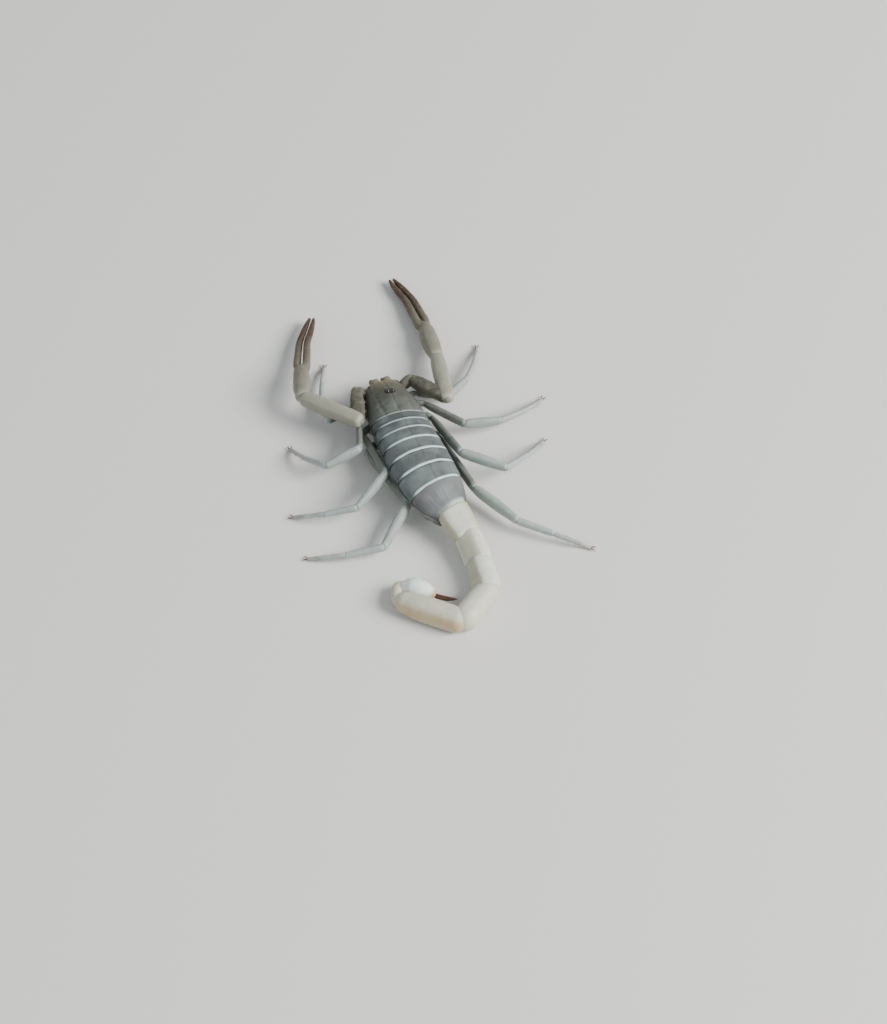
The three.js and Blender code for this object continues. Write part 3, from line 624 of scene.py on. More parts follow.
def make_tergite(k):
    """Back plate: tucked under the one ahead, it ends in a pale raised margin. The last one has keels."""
    first, last = plate_ends[k - 1]
    length = last - first
    final = k == TERGITES[-1]

    def lift(s, x, share, spots, lap):
        passed, left_over = s - first, last - s
        tucked = -0.13 * (1 - step(passed, -0.06, 0.16))
        bead = 0.022 * ridge(left_over, 0.1, 0.09)
        hollow = -0.02 * ridge(left_over, 0.3, 0.1)
        keel = 0.03 * ridge(x, 0, 0.07) * step(passed, 0.2, 0.6)
        dent = -0.05 * ridge(share, 0.55, 0.13) * ridge(passed, 0.45 * length, 0.3 * length)
        swell = 0.03 * noise(spots, 0.8, 10 + k) + 0.01 * noise(spots, 0.25, 20 + k)
        grains = 0.016 * granules(s, lap, 0.11, 0.55, 30 + k)
        grains = grains * step(passed, 0.2, 0.5) * step(left_over, 0.1, 0.3)
        edge = -0.06 * step(share, 0.95, 1.0)
        total = tucked + bead + hollow + keel + dent + swell + grains + edge
        if final:
            row = (0.6 + 0.4 * np.cos(TURN * s / 0.17)) * step(passed, 0.5, 1.0) * step(left_over, 0.15, 0.5)
            total = total + 0.035 * row * (ridge(share, 0.3, 0.035) + ridge(share, 0.62, 0.035))
            total = total - 0.24 * (1 - step(left_over, -0.05, 0.3))
        return total

    def tint(s, x, share, spots):
        passed, left_over = s - first, last - s
        deep, strong, veil = BANDS[k]
        band = (1 - step(left_over, 0.45 * deep, 1.25 * deep)) * (1 - step(share, 0.74, 0.94))
        band = band * (0.88 + 0.14 * noise(spots, 0.3, 50 + k)) * strong
        light = veil + 0.10 * noise(spots, 0.9, 60 + k)
        dusk = 0.30 * step(noise(spots, 0.45, 70 + k), 0.05, 0.6)
        if final:
            # Painted shade: on the last plate the pale band dims towards the animal's left, the side in
            # shade.
            band = band * (0.25 + 0.75 * step(0.55 - x / 2, 0, 0.8))
            light = light + 0.16 * ridge(share, 0.0, 0.34) * step(passed, 0.2, 1.2)
            dusk = dusk * 0.4
        else:
            dusk = dusk + 0.35 * ridge(left_over, 0.26, 0.10)
        line = 0 if final else 0.06 * ridge(share, 0.0, 0.035)
        warm = 0.35 * final + 0.15 * noise(spots, 0.6, 80 + k)
        return paint(np.minimum(dusk * (1 - band), 0.8), band + light * (1 - band) - line, warm)

    shape = Shape()
    back_plate(shape, first - TUCK, last + 0.03, 0.11, lift, tint, corner=0.14, reach=0.05)
    shape.piece(f"back_plate_{k}", "back", "shell", f"tergite_{k}")


# ---- soft trunk ----

TRUNK_SIDES = 132
FLANK = 0.62  # middle of the soft flank, as a share of the way from the top to the bottom
SEAT = 0.40  # the same for where the plates' edges rest


def make_trunk():
    """Soft skin between the plates, pleated along the flanks and drawn in between the segments."""
    s, opening = stations(body.s[-1], 0.12, 0.12, 0.07)
    turn, s_grid = np.meshgrid(np.linspace(0, TURN, TRUNK_SIDES, endpoint=False), s)
    points = body.outline(s_grid, turn)
    middle = body.axes(s_grid)[0]
    out = unit(points - middle)
    down = np.minimum(turn, TURN - turn) / math.pi
    flank = 1 - step(np.abs(down - FLANK), 0.1, 0.24)
    pleats = 0.03 * np.sin(turn * 46 + 2.2 * noise(points, 1.1, 90)) * flank
    nips = sum(-0.06 * ridge(s_grid, last, 0.12) for _, last in plate_ends) * flank
    crumple = 0.025 * noise(points, 0.35, 91) + 0.012 * noise(points, 0.14, 92)
    seat = 0.1 * ridge(down, SEAT, 0.09)
    points = points + out * (pleats + nips + crumple + seat - 0.04)[..., None]
    points = middle + (points - middle) * (0.15 + 0.85 * opening)[:, None, None]
    # Darker along the flanks, plus painted shade in the drawn-in creases between the segments.
    flank_dark_and_painted_shade = np.clip(0.35 * flank * (0.5 + 0.5 * noise(points, 0.3, 93)) - 0.4 * nips, 0, 0.8)
    # Painted shade: the trunk's front wall under the carapace is made near black, like a shadowed hollow.
    flank_dark_and_painted_shade = np.maximum(flank_dark_and_painted_shade, 0.95 * (1 - step(s_grid, 0.1, 0.5)))
    tint = paint(flank_dark_and_painted_shade, 0.25 * flank * step(noise(points, 0.5, 94), 0, 0.7), 0)
    shape = Shape()
    shape.close(*(np.concatenate([grid[:1], grid, grid[-1:]]) for grid in (points, tint)))
    shape.piece("trunk_skin", "flesh", "flesh", "trunk")


# ---- limbs read from the CAD ----

class Limb:
    """Centre line, tops and half sizes of a CAD tube, from the end nearest to a place."""

    def __init__(self, node, sides, near, top=UP, rolled=False, fill=(0, 0)):
        rings, first, last = cad_rings(node, sides, near)
        self.points = np.array([first, *[ring.mean(0) for ring in rings[1:-1]], last])
        ways = unit(np.gradient(self.points, axis=0))
        tops = []
        for ring, way in zip(rings, ways):
            if rolled:
                flat = thin_way(ring, way)
                top = flat * np.sign(flat @ top)
            tops.append(unit(top - way * (top @ way)))
        if rolled:
            tops[0], tops[-1] = tops[1], tops[-2]
        self.tops = np.array(tops)
        self.wide, self.high = (np.array([np.ptp(ring @ across) / 2 for ring, across in zip(rings, rows)])
                                for rows in (np.cross(self.tops, ways), self.tops))
        for size in (self.wide, self.high):
            size[0] = max(min(size[0], size[1]), size[1] * fill[0])
            size[-1] = max(min(size[-1], size[-2]), size[-2] * fill[1])


PLAIN = ((0, 0.86), (0.12, 0.98), (0.5, 1.0), (0.88, 1.04), (1, 0.92))


def segment(shape, limb, i, j, before=0.1, after=0.1, profile=PLAIN, **more):
    """Closed form over the rings i to j of a limb, longer at both ends so that it meets its neighbours."""
    points = limb.points[i:j + 1].copy()
    first, last = unit(points[1] - points[0]), unit(points[-1] - points[-2])
    points[0] -= first * before
    points[-1] += last * after
    spine = Spine(points, limb.tops[i:j + 1])
    grid = np.linspace(0, 1, 33)
    wide, high = (smooth(spine.knots / spine.length, size[i:j + 1], grid) * keyed(profile, grid)
                  for size in (limb.wide, limb.high))
    return tube(shape, spine, list(zip(grid, wide)), list(zip(grid, high)), **more)


def keels(s, angle, places, height, width=0.16, pitch=0.0):
    """Raised lines along a tube at the given angles in degrees, toothed if pitch is given."""
    row = 0.6 + 0.4 * np.cos(TURN * s / pitch) if pitch else 1.0
    total = 0.0
    for place in places:
        away = np.abs(np.mod(angle - math.radians(place) + math.pi, TURN) - math.pi)
        total = total + height * np.exp(-((away / width) ** 2)) * row
    return total


def skin(seed, grains=None, swells=(), keel=None, pinch=0.0, full_girth=None):
    """
    Relief of a limb. grains are (height, size, share of places), swells are (height, size) pairs, keel is
    what keels() takes, pinch draws the flanks in, and below full_girth all of it is lower.
    """
    def relief(s, angle, points, girth):
        lift = keels(s, angle, *keel) if keel else 0.0
        if grains:
            height, size, fill = grains
            lift = lift + height * granules(s, angle * girth, size, fill, seed)
        for k, (height, size) in enumerate(swells):
            lift = lift + height * noise(points, size, seed + 1 + k)
        lift = lift - pinch * np.abs(np.cos(angle)) ** 4
        return lift * np.clip(girth / full_girth, 0.25, 1) if full_girth else lift
    return relief


def blotches(points, sizes, seed):
    """Uneven shade between -1 and 1, in patches of two sizes."""
    return noise(points, sizes[0], seed) * 0.5 + noise(points, sizes[1], seed + 1) * 0.5


# What the forms of one kind of limb share. In their relief: grains, swells, the keels' width and pitch, and
# pinch. In their tint: sizes of the blots, reach of the marks at the two ends and what they do to dark and
# pale, evenness and unevenness of the pale, how much clearer the underside is, the usual warm stain, and how
# patchy it is.
LIMB_KINDS = {
    "leg": {"grains": (0.014, 0.085, 0.5), "swells": ((0.012, 0.3),), "keel": (0.22, 0.11), "pinch": 0.02,
            "blots": (0.5, 0.17), "ends": (0.05, 0.06), "end_dark": 0.6, "end_pale": 0.35,
            "pale": (0.85, 0.3), "under": 0.15, "warm": 0.0, "patchy": 0.4},
    "palp": {"grains": (0.016, 0.1, 0.55), "swells": ((0.018, 0.45), (0.008, 0.14)), "keel": (0.15, 0.13),
             "pinch": 0.0, "blots": (0.55, 0.18), "ends": (0.04, 0.035), "end_dark": 0.5, "end_pale": 0.3,
             "pale": (0.9, 0.35), "under": 0.0, "warm": 0.04, "patchy": 0.0},
}


def marks(kind, seed, dull, light, warm=None):
    """Tint of a form. warm is a number, or a function of the share of the length."""
    warm = kind["warm"] if warm is None else warm

    def tint(share, angle, points):
        blot = blotches(points, kind["blots"], seed)
        ends = ridge(share, 0, kind["ends"][0]) + ridge(share, 1, kind["ends"][1])
        dark = dull * (0.8 + 0.5 * blot) * (1 - kind["end_dark"] * ends)
        dark = dark + kind["under"] * np.minimum(np.sin(angle), 0)
        pale = light * (kind["pale"][0] + kind["pale"][1] * blot) + kind["end_pale"] * ends
        if callable(warm):
            return paint(dark, pale, warm(share) * (0.9 + 0.15 * blot))
        return paint(dark, pale, warm * (1 - kind["patchy"] + kind["patchy"] * blot))
    return tint


def limb_form(kind_name, seed, shape, limb, rings, overlap, keel, look, full_girth=None, grain=None,
              width=None, toothed=True, **more):
    """
    Segment of a leg or a pincer arm over some rings of a limb. overlap is how far it reaches into its
    neighbours, keel is the angles and the height of its keels, look is how dull, pale and warm it is, and
    grain and width replace what its kind has.
    """
    kind = LIMB_KINDS[kind_name]
    grains = (kind["grains"][0] if grain is None else grain, *kind["grains"][1:])
    keel = (*keel, width or kind["keel"][0], kind["keel"][1] if toothed else 0.0)
    relief = skin(seed + 2, grains, kind["swells"], keel, kind["pinch"], full_girth)
    return segment(shape, limb, *rings, *overlap, relief=relief, tint=marks(kind, seed, *look), **more)


# ---- bristles ----

HAIRS = {}
ROOT_DEPTH = 0.02
SWAY = 0.7  # how far bristles lean to either side
BRISTLE = {"radius": 0.009, "joints": 4, "bend": 0.22, "taper": 0.8}
PATCH_MARGIN = 0.06  # of a bristle group's square in the map OFBake
PATCH_RADIUS = 0.0015


def comb(group, grid, count, length, seed, lean=0.9, start=0.05, end=0.97, angles=(0, 360), gather=0.0):
    """Notes the roots of bristles over a tube, spread at random or gathered towards its end."""
    along, around, sideways, long = (scramble(np.arange(count), np.int64(seed + k)) for k in range(4))
    along = start + (end - start) * (1 - (1 - along) ** (1 + gather))
    lap = np.mod((angles[0] + (angles[1] - angles[0]) * around) / 360, 1)
    rows, columns = grid["points"].shape[:2]
    i = np.clip(np.searchsorted(grid["s"], along * grid["s"][-1]), 1, rows - 2)
    j = np.floor(lap * columns).astype(int)
    normals, way = grid["normal"][i, j], grid["way"][i]
    sway = (sideways - 0.5)[:, None] * SWAY
    heading = unit(normals + way * lean + np.cross(normals, way) * sway)
    roots = grid["points"][i, j] - normals * ROOT_DEPTH
    sizes = length * (0.55 + 0.6 * long)
    HAIRS.setdefault(group, []).append(list(zip(roots, heading, way, sizes, np.c_[along, lap])))


def make_hairs(group, slot):
    """All bristles of one group as thin three-sided spikes, each with its own patch of the map OFBake."""
    shape, charts, patches = Shape(), HAIRS[group], []
    radius, joints = BRISTLE["radius"], BRISTLE["joints"]
    across = math.ceil(math.sqrt(len(charts)))
    turn = (np.arange(3) * TURN / 3)[:, None]
    t = np.linspace(0, 1, joints + 1)
    taper = (radius * (1 - BRISTLE["taper"] * t[:-1]))[:, None, None]
    around = np.arange(joints * 3 + 2) * 2.1  # spreads a bristle's points over its patch
    patch = PATCH_RADIUS * np.c_[np.cos(around), np.sin(around)]
    for number, chart in enumerate(charts):
        cell = np.array([number % across, number // across]) / across
        for root, heading, bend, length, place in chart:
            side = unit(np.cross(heading, bend + 1e-3))
            other = np.cross(side, heading)
            lean = bend * (BRISTLE["bend"] * length * t ** 2)[:, None]
            line = root + heading * (length * t)[:, None] + lean
            line[:, 2] = np.maximum(line[:, 2], 2 * radius)
            rings = line[:-1, None] + (side * np.cos(turn) + other * np.sin(turn)) * taper
            points = np.concatenate([line[:1], rings.reshape(-1, 3), line[-1:]])
            shape.add(points, tube_faces(joints, 3), (0, 0, 0))
            patches.append(cell + (PATCH_MARGIN + (1 - 2 * PATCH_MARGIN) * place) / across + patch)
    piece = shape.piece(f"{group}_bristles", "hair", slot)
    layer = piece.data.uv_layers.new(name="OFBake")
    corner_points = np.array([corner.vertex_index for corner in piece.data.loops])
    layer.data.foreach_set("uv", np.concatenate(patches)[corner_points].ravel().astype(np.float32))


# ---- legs ----

CLAWS = Shape()
CLAW_LINE = ((0, 0, 0), (0.2, 0.07, 0.05), (0.36, 0.11, -0.03), (0.42, 0.12, -0.155))  # ahead, aside, above


def spike(line, wide, high=None, sides=10, caps=(0.03, 0.03)):
    """Small smooth claw, heel or spur on a foot."""
    tube(CLAWS, Spine(line, UP), wide, high or wide, sides=sides, caps=caps, spacing=0.04)


def make_foot(shin, spurred):
    """Two curved tarsal claws, the heel between them and, on the hind legs, two spurs under the tibia."""
    tip = shin.points[8]
    way = unit((tip - shin.points[7]) * LEVEL)
    left = np.cross(UP, way)
    for sign in SIDES.values():
        root = np.array([*(tip - way * 0.1)[:2], 0.2]) - left * sign * 0.07
        line = [root + way * ahead - left * sign * aside + UP * above for ahead, aside, above in CLAW_LINE]
        spike(line, [(0, 0.055), (0.5, 0.04), (1, 0.012)], [(0, 0.06), (0.5, 0.045), (1, 0.012)],
              caps=(0.03, 0.012))
    heel = [tip - way * 0.1 + UP * (0.1 - tip[2]), tip + way * 0.05 + UP * (0.07 - tip[2])]
    spike(heel, [(0, 0.06), (1, 0.02)], [(0, 0.05), (1, 0.02)])
    if spurred:
        spot = shin.points[3] - UP * shin.high[3] * 0.7
        for sign in SIDES.values():
            out = unit(unit(shin.points[4] - shin.points[3]) - UP * 0.5 - left * sign * 0.4)
            spur = [spot - out * 0.05, spot + out * 0.24]
            spike(spur, [(0, 0.035), (1, 0.008)], sides=8, caps=(0.02, 0.01))


def make_leg(side, number):
    """One walking leg: trochanter and femur, patella, then tibia and the two parts of the tarsus."""
    name = f"leg_{side}_{number}"
    seed = 100 * number + (50 if side == "left" else 0)
    form = partial(limb_form, "leg", seed)
    sides = CAD_SIDES["leg"]
    thigh = Limb(f"{name}_femur", sides, body.middle[3 + number], fill=(0.8, 0.9))
    knee = Limb(f"{name}_patella", sides, thigh.points[-1], fill=(0.84, 0.9))
    shin = Limb(f"{name}_tibia_tarsus", sides, knee.points[-1], fill=(0.97, 0.9))
    edges = (75, 105, 255, 285)

    shape = Shape()
    form(shape, thigh, rings=(0, 2), overlap=(0.3, 0.1), keel=((90, 270), 0.02), look=(0.55, 0.1),
         sides=22, caps=(0.1, 0.16), square=0.9, spacing=0.07)
    hip = form(shape, thigh, rings=(2, 6), overlap=(0.14, 0.14), keel=(edges, 0.028), look=(0.75, 0.08),
               profile=((0, 0.82), (0.08, 0.92), (0.25, 1.03), (0.6, 1.0), (1, 0.98)),
               sides=24, caps=(0.2, 0.24), square=0.88, spacing=0.06)
    joint(shape, thigh.points[2], min(thigh.high[2], thigh.wide[3]) * 0.98)
    joint(shape, thigh.points[-1], thigh.wide[-2] * 0.82)
    shape.piece(f"{name}_thigh", "leg", "leg", f"{name}_femur")

    shape = Shape()
    bend = form(shape, knee, rings=(0, len(knee.points) - 1), overlap=(0.16, 0.1), keel=(edges, 0.024),
                look=(0.2, 0.45), profile=((0, 0.92), (0.1, 1.0), (0.5, 1.0), (0.94, 1.0), (1, 0.94)),
                sides=24, caps=(0.26, 0.18), square=0.88, spacing=0.06)
    joint(shape, knee.points[-1], knee.wide[-2] * 0.84)
    shape.piece(f"{name}_knee", "leg", "leg", f"{name}_patella")

    shape = Shape()
    tibia = form(shape, shin, rings=(0, 3), overlap=(0.12, 0.06), keel=((90,), 0.012), look=(0.08, 0.6),
                 profile=((0, 0.94), (0.1, 1.0), (0.5, 0.96), (0.92, 0.98), (1, 0.9)),
                 sides=22, caps=(0.18, 0.12), square=0.92, spacing=0.06)
    joint(shape, shin.points[3], shin.wide[3] * 0.86)
    first = form(shape, shin, rings=(3, 5), overlap=(0.05, 0.04), keel=((), 0), look=(0.05, 0.6, 0.05),
                 profile=((0, 0.88), (0.1, 0.92), (0.5, 0.84), (0.9, 0.86), (1, 0.78)), grain=0.008,
                 sides=20, caps=(0.1, 0.09), spacing=0.06)
    joint(shape, shin.points[5], shin.wide[5] * 0.74)
    second = form(shape, shin, rings=(5, 8), overlap=(0.05, -0.02), keel=((), 0), look=(0.05, 0.5, 0.25),
                  profile=((0, 0.74), (0.12, 0.78), (0.6, 0.7), (1, 0.56)), grain=0.008,
                  sides=20, caps=(0.1, 0.12), spacing=0.05)
    shape.piece(f"{name}_shin", "leg", "leg", f"{name}_tibia_tarsus")
    make_foot(shin, number > 2)

    # Bristles: on what, how many, how long, between which angles.
    rows = ((hip, 26, 0.24, (30, 150), {}), (hip, 22, 0.3, (210, 330), {}),
            (bend, 20, 0.24, (30, 150), {}), (bend, 22, 0.32, (200, 340), {"gather": 0.6}),
            (tibia, 34, 0.34, (0, 360), {}),
            (first, 34, 0.34, (190, 350), {"lean": 0.6}), (first, 14, 0.3, (10, 170), {}),
            (second, 26, 0.22, (200, 340), {"lean": 0.6}), (second, 10, 0.28, (10, 170), {}))
    for k, (grid, count, length, angles, more) in enumerate(rows):
        comb("leg", grid, count, length, seed + 5 + 4 * k, angles=angles, **more)
    return thigh


# ---- pedipalps ----

TOOTH = 0.045
TOOTH_TINT = (0.2, 0, 1)
FINGER_TEETH = 34


def denticles(shape, line, count=FINGER_TEETH, size=TOOTH, tint=TOOTH_TINT):
    """Row of blunt teeth along a line. Every sixth one is big."""
    knots = np.concatenate([[0], np.cumsum(np.linalg.norm(np.diff(line, axis=0), axis=1))])
    for k in range(count):
        spot = smooth(knots, line, knots[-1] * (k + 0.5) / count)
        big = size * (1.35 if k % 6 == 0 else 0.8 + 0.25 * float(scramble(np.int64(k), np.int64(7))))
        ball(shape, spot, (big, big, big * 1.25), EVEN, tint, rings=4, sides=7)


def make_palp(side):
    """One pincer arm: trochanter, femur, patella, hand with its fixed finger, and the movable finger."""
    name = f"pedipalp_{side}"
    seed = 600 if side == "left" else 700
    form = partial(limb_form, "palp", seed)
    sides = CAD_SIDES["palp"]
    arm = Limb(f"{name}_femur", sides, body.middle[3] * LEVEL + UP * 1.5)
    fore = Limb(f"{name}_patella", sides, arm.points[-1])
    hand = Limb(f"{name}_hand", sides, fore.points[-1])
    finger = Limb(f"{name}_movable_finger", CAD_SIDES["finger"], fore.points[-1])
    # The solids leave room inside the sharp elbow, which the cuticle's blunt knuckle fills. A row holds the
    # limb, the ring and its least half size.
    for limb, ring, size in ((arm, -2, 0.54), (arm, -1, 0.52), (fore, 0, 0.62), (fore, 1, 0.68),
                             (fore, -1, 0.6), (hand, 0, 0.6), (hand, -5, 0.38)):
        limb.wide[ring] = max(limb.wide[ring], size)
        limb.high[ring] = max(limb.high[ring], size * 0.95)

    shape = Shape()
    form(shape, arm, rings=(0, 2), overlap=(0.25, 0.12), keel=((40, 140, 220, 320), 0.03), look=(0.75, 0.03),
         sides=32, caps=(0.15, 0.22), square=0.85, spacing=0.06)
    upper = form(shape, arm, rings=(2, 6), overlap=(0.12, 0.1), keel=((48, 132, 228, 312), 0.04),
                 look=(0.9, 0.0), profile=((0, 0.82), (0.1, 0.95), (0.3, 1.0), (0.8, 1.02), (1, 0.95)),
                 sides=40, caps=(0.25, 0.3), square=0.78, spacing=0.055)
    joint(shape, arm.points[2], arm.wide[3] * 0.8, (0.6, 0.1, 0))
    joint(shape, arm.points[-1], arm.wide[-2] * 0.8, (0.4, 0.1, 0))
    shape.piece(f"{name}_upper_arm", "claw", "claw", f"{name}_femur")
    comb("pincer", upper, 34, 0.4, seed + 5)

    shape = Shape()
    elbow = form(shape, fore, rings=(0, 5), overlap=(0.36, 0.14), keel=((45, 90, 135, 225, 315), 0.034),
                 look=(0.06, 0.35), profile=((0, 0.9), (0.12, 1.0), (0.6, 1.0), (0.9, 1.0), (1, 0.92)),
                 sides=44, caps=(0.42, 0.3), square=0.8, spacing=0.055)
    joint(shape, fore.points[-1], 0.42)
    shape.piece(f"{name}_forearm", "claw", "claw", f"{name}_patella")
    comb("pincer", elbow, 44, 0.42, seed + 9)

    lengths = np.linalg.norm(np.diff(hand.points, axis=0), axis=1).cumsum()
    root = lengths[4] / lengths[-1]  # where the fixed finger leaves the hand
    between = unit(finger.points[1:5] - hand.points[5:9])

    def hand_brown(share):
        return 0.06 + step(share, root - 0.35, root + 0.45) * 0.92

    def finger_brown(share):
        return 0.42 + 0.54 * step(share, 0.0, 0.7)

    shape = Shape()
    palm = form(shape, hand, rings=(0, 9), overlap=(0.1, 0.0), keel=((30, 60, 90, 120, 150, 210, 330), 0.014),
                look=(0.34, 0.12, hand_brown), full_girth=0.6, grain=0.008, width=0.1, toothed=False,
                profile=((0, 0.94), (0.05, 1.0), (0.2, 1.0), (0.6, 1.08), (1, 1.04)),
                sides=44, caps=(0.25, 0.12), square=0.9, spacing=0.055)
    denticles(shape, hand.points[5:9] + between * (hand.wide[5:9] * 0.9)[:, None])
    shape.piece(f"{name}_palm", "claw", "claw", f"{name}_hand")
    comb("pincer", palm, 60, 0.5, seed + 13, end=0.6)
    comb("pincer", palm, 50, 0.34, seed + 17, start=0.6, lean=0.5)

    shape = Shape()
    thumb = form(shape, finger, rings=(0, 5), overlap=(0.25, 0.0), keel=((60, 120), 0.012),
                 look=(0.3, 0.0, finger_brown), profile=((0, 0.9), (0.15, 1.08), (1, 1.06)), grain=0.006,
                 toothed=False, sides=30, caps=(0.15, 0.1), square=0.95, spacing=0.055)
    denticles(shape, finger.points[1:5] - between * (finger.wide[1:5] * 0.9)[:, None])
    joint(shape, finger.points[0] - unit(finger.points[1] - finger.points[0]) * 0.1, 0.24, (0.1, 0.1, 0.5))
    shape.piece(f"{name}_thumb", "claw", "finger", f"{name}_movable_finger")
    comb("pincer", thumb, 50, 0.34, seed + 21, lean=0.5)
    return arm


# ---- tail ----

FRONT_KEELS = (50, 130, 12, 168, 238, 302, 262, 278)
# Each tail segment: the angles and height of its keels, then how dark, how pale and how warm it is, each
# above, at the sides and below. These differences between above, sides and below are partly the segments'
# own colour and partly painted shade.
TAIL = {
    1: (FRONT_KEELS, 0.05, (0.0, 0.30, 0.1), (0.42, 0.06, 0.3), (0.04, 0.06, 0.10)),
    2: (FRONT_KEELS, 0.045, (0.26, 0.04, 0.1), (0.24, 0.44, 0.3), (0.10, 0.03, 0.12)),
    3: ((50, 130, 6, 174, 236, 304, 262, 278), 0.035,
        (0.24, 0.02, 0.1), (0.20, 0.44, 0.3), (0.18, 0.05, 0.18)),
    4: ((50, 130, 4, 176, 238, 302, 264, 276), 0.03,
        (0.20, 0.04, 0.1), (0.10, 0.34, 0.3), (0.40, 0.12, 0.20)),
    5: ((42, 138, 232, 308, 270), 0.03, (0.12, 0.52, 0.1), (0.34, 0.36, 0.2), (0.08, 0.12, 0.80)),
}
# How a segment meets its neighbours where they don't meet as the others do.
TAIL_ENDS = {
    1: {"before": 0.6},
    4: {"after": 0.55, "caps": (0.14, 1.0)},
    5: {"before": 0.55, "after": 0.32, "caps": (1.0, 0.85), "profile": ((0, 0.93), (0.15, 1.0), (1, 1.0))},
}


def make_tail_segment(number, limb):
    """Tail segment with low keels, a groove along its top and a rim at its rear."""
    seed = 800 + 10 * number
    places, height, *tones_with_painted_shade = TAIL[number]
    grain = skin(seed, (0.008, 0.12, 0.4), ((0.02, 0.7), (0.006, 0.2)))

    def relief(s, angle, points, girth):
        length = s.max()
        share = s / length
        fade = step(share, 0.04, 0.16) * (1 - 0.7 * step(share, 0.9, 0.99))
        rim = 0.02 * ridge(length - s, 0.12, 0.08) - 0.015 * ridge(length - s, 0.3, 0.1)
        neck = -0.015 * (1 - step(s, 0.2, 0.5))
        groove = -0.07 * keels(s, angle, (90,), 1.0, 0.42) * step(share, 0.1, 0.3)
        lines = keels(s, angle, places, height, 0.11, 0.16) * fade
        return lines + rim + neck + groove + grain(s, angle, points, girth)

    def tint(share, angle, points):
        blot = blotches(points, (0.8, 0.25), seed + 3)
        # The tones above, at the sides and below differ partly as the segment's own colour and partly as
        # painted shade.
        side = step(np.abs(np.cos(angle)), 0.25, 0.95)
        above = np.sin(angle) > 0
        weights = ((1 - side) * above, side, (1 - side) * ~above)
        dark, pale, warm = (sum(w * tone for w, tone in zip(weights, tones)) for tones in tones_with_painted_shade)
        dark = dark + 0.10 * ridge(share, 0.0, 0.05) + 0.06 * np.clip(blot, 0, 1)
        pale = pale * (1 + 0.4 * blot) + 0.3 * ridge(share, 1, 0.04)
        return paint(dark, pale, warm * (0.8 + 0.4 * blot))

    ends = {"before": 0.3, "after": 0.1, "caps": (0.2, 0.32), "profile": ((0, 1.0), (1, 1.0))}
    ends.update(TAIL_ENDS.get(number, {}))
    shape = Shape()
    grid = segment(shape, limb, 0, len(limb.points) - 1, sides=72, square=0.84, spacing=0.06, relief=relief,
                   tint=tint, **ends)
    if number < 4:
        joint(shape, limb.points[-1], limb.high[-2] * 0.8, (0.1, 0.2, 0.1))
    shape.piece(f"tail_{number}", "tail", "tail", f"metasoma_{number}")
    comb("tail", grid, 22 + 6 * number, 0.34, seed + 6, start=0.1, lean=0.5)


def make_bulb(last, bulb):
    """Venom bulb with a brown tip, and the soft hinge that folds it back over the last tail segment."""
    seed = 880
    grain = skin(seed, (0.010, 0.14, 0.35), ((0.02, 0.6),))

    def bulge(s, angle, points, girth):
        grooves = -0.025 * keels(s, angle, (250, 290), 1.0, 0.12) * step(girth, 0.4, 0.7)
        return grooves + grain(s, angle, points, girth)

    def pear(share, angle, points):
        brown = step(share, 0.84, 1.0)
        pale = np.clip(0.85 + 0.15 * noise(points, 0.6, seed + 2), 0, 1) * (1 - brown)
        return paint(0.10 * brown, pale, 0.02 + 0.95 * brown)

    shape = Shape()
    rear, top = last.points[-1], last.tops[-1]
    out = unit(rear - last.points[-2])
    hinge = [rear - out * 0.2, rear + out * 0.15 + top * 0.15, (rear + bulb.points[0]) / 2 + out * 0.26,
             bulb.points[0] + out * 0.12, bulb.points[1]]
    tube(shape, Spine(hinge, np.cross(out, top)), [(0, 0.6), (0.5, 0.48), (1, 0.5)],
         [(0, 0.58), (0.5, 0.42), (1, 0.5)], sides=28, spacing=0.06, tint=(0.04, 0.2, 0.22))
    grid = segment(shape, bulb, 0, len(bulb.points) - 1, 0.18, 0.06, ((0, 0.95), (0.1, 1.0), (1, 1.0)),
                   sides=64, caps=(0.12, 0.1), spacing=0.05, relief=bulge, tint=pear)
    shape.piece("venom_bulb", "tail", "tail", "telson_vesicle")
    comb("tail", grid, 60, 0.4, seed + 6, start=0.1, end=0.8, lean=0.4)


def make_tail():
    """Five tail segments, the venom bulb and the sting."""
    near, top = body.middle[-1], UP
    for number in TAIL:
        limb = Limb(f"metasoma_{number}", CAD_SIDES["tail"], near, top, rolled=True, fill=(0.95, 0.96))
        near, top = limb.points[-1], limb.tops[-1]
        make_tail_segment(number, limb)
    bulb = Limb("telson_vesicle", CAD_SIDES["vesicle"], near, -top, rolled=True)
    make_bulb(limb, bulb)
    needle = Limb("telson_sting", CAD_SIDES["sting"], bulb.points[-1], bulb.tops[-1])
    shape = Shape()
    segment(shape, needle, 0, 3, 0.12, 0.05, ((0, 0.95), (0.6, 0.95), (0.9, 0.8), (1, 0.45)), sides=28,
            caps=(0.08, 0.05), spacing=0.04, relief=skin(888, swells=((0.006, 0.2),)))
    shape.piece("sting_needle", "sting", "sting", "telson_sting")


# ---- mouth claws, combs and the parts under the body ----

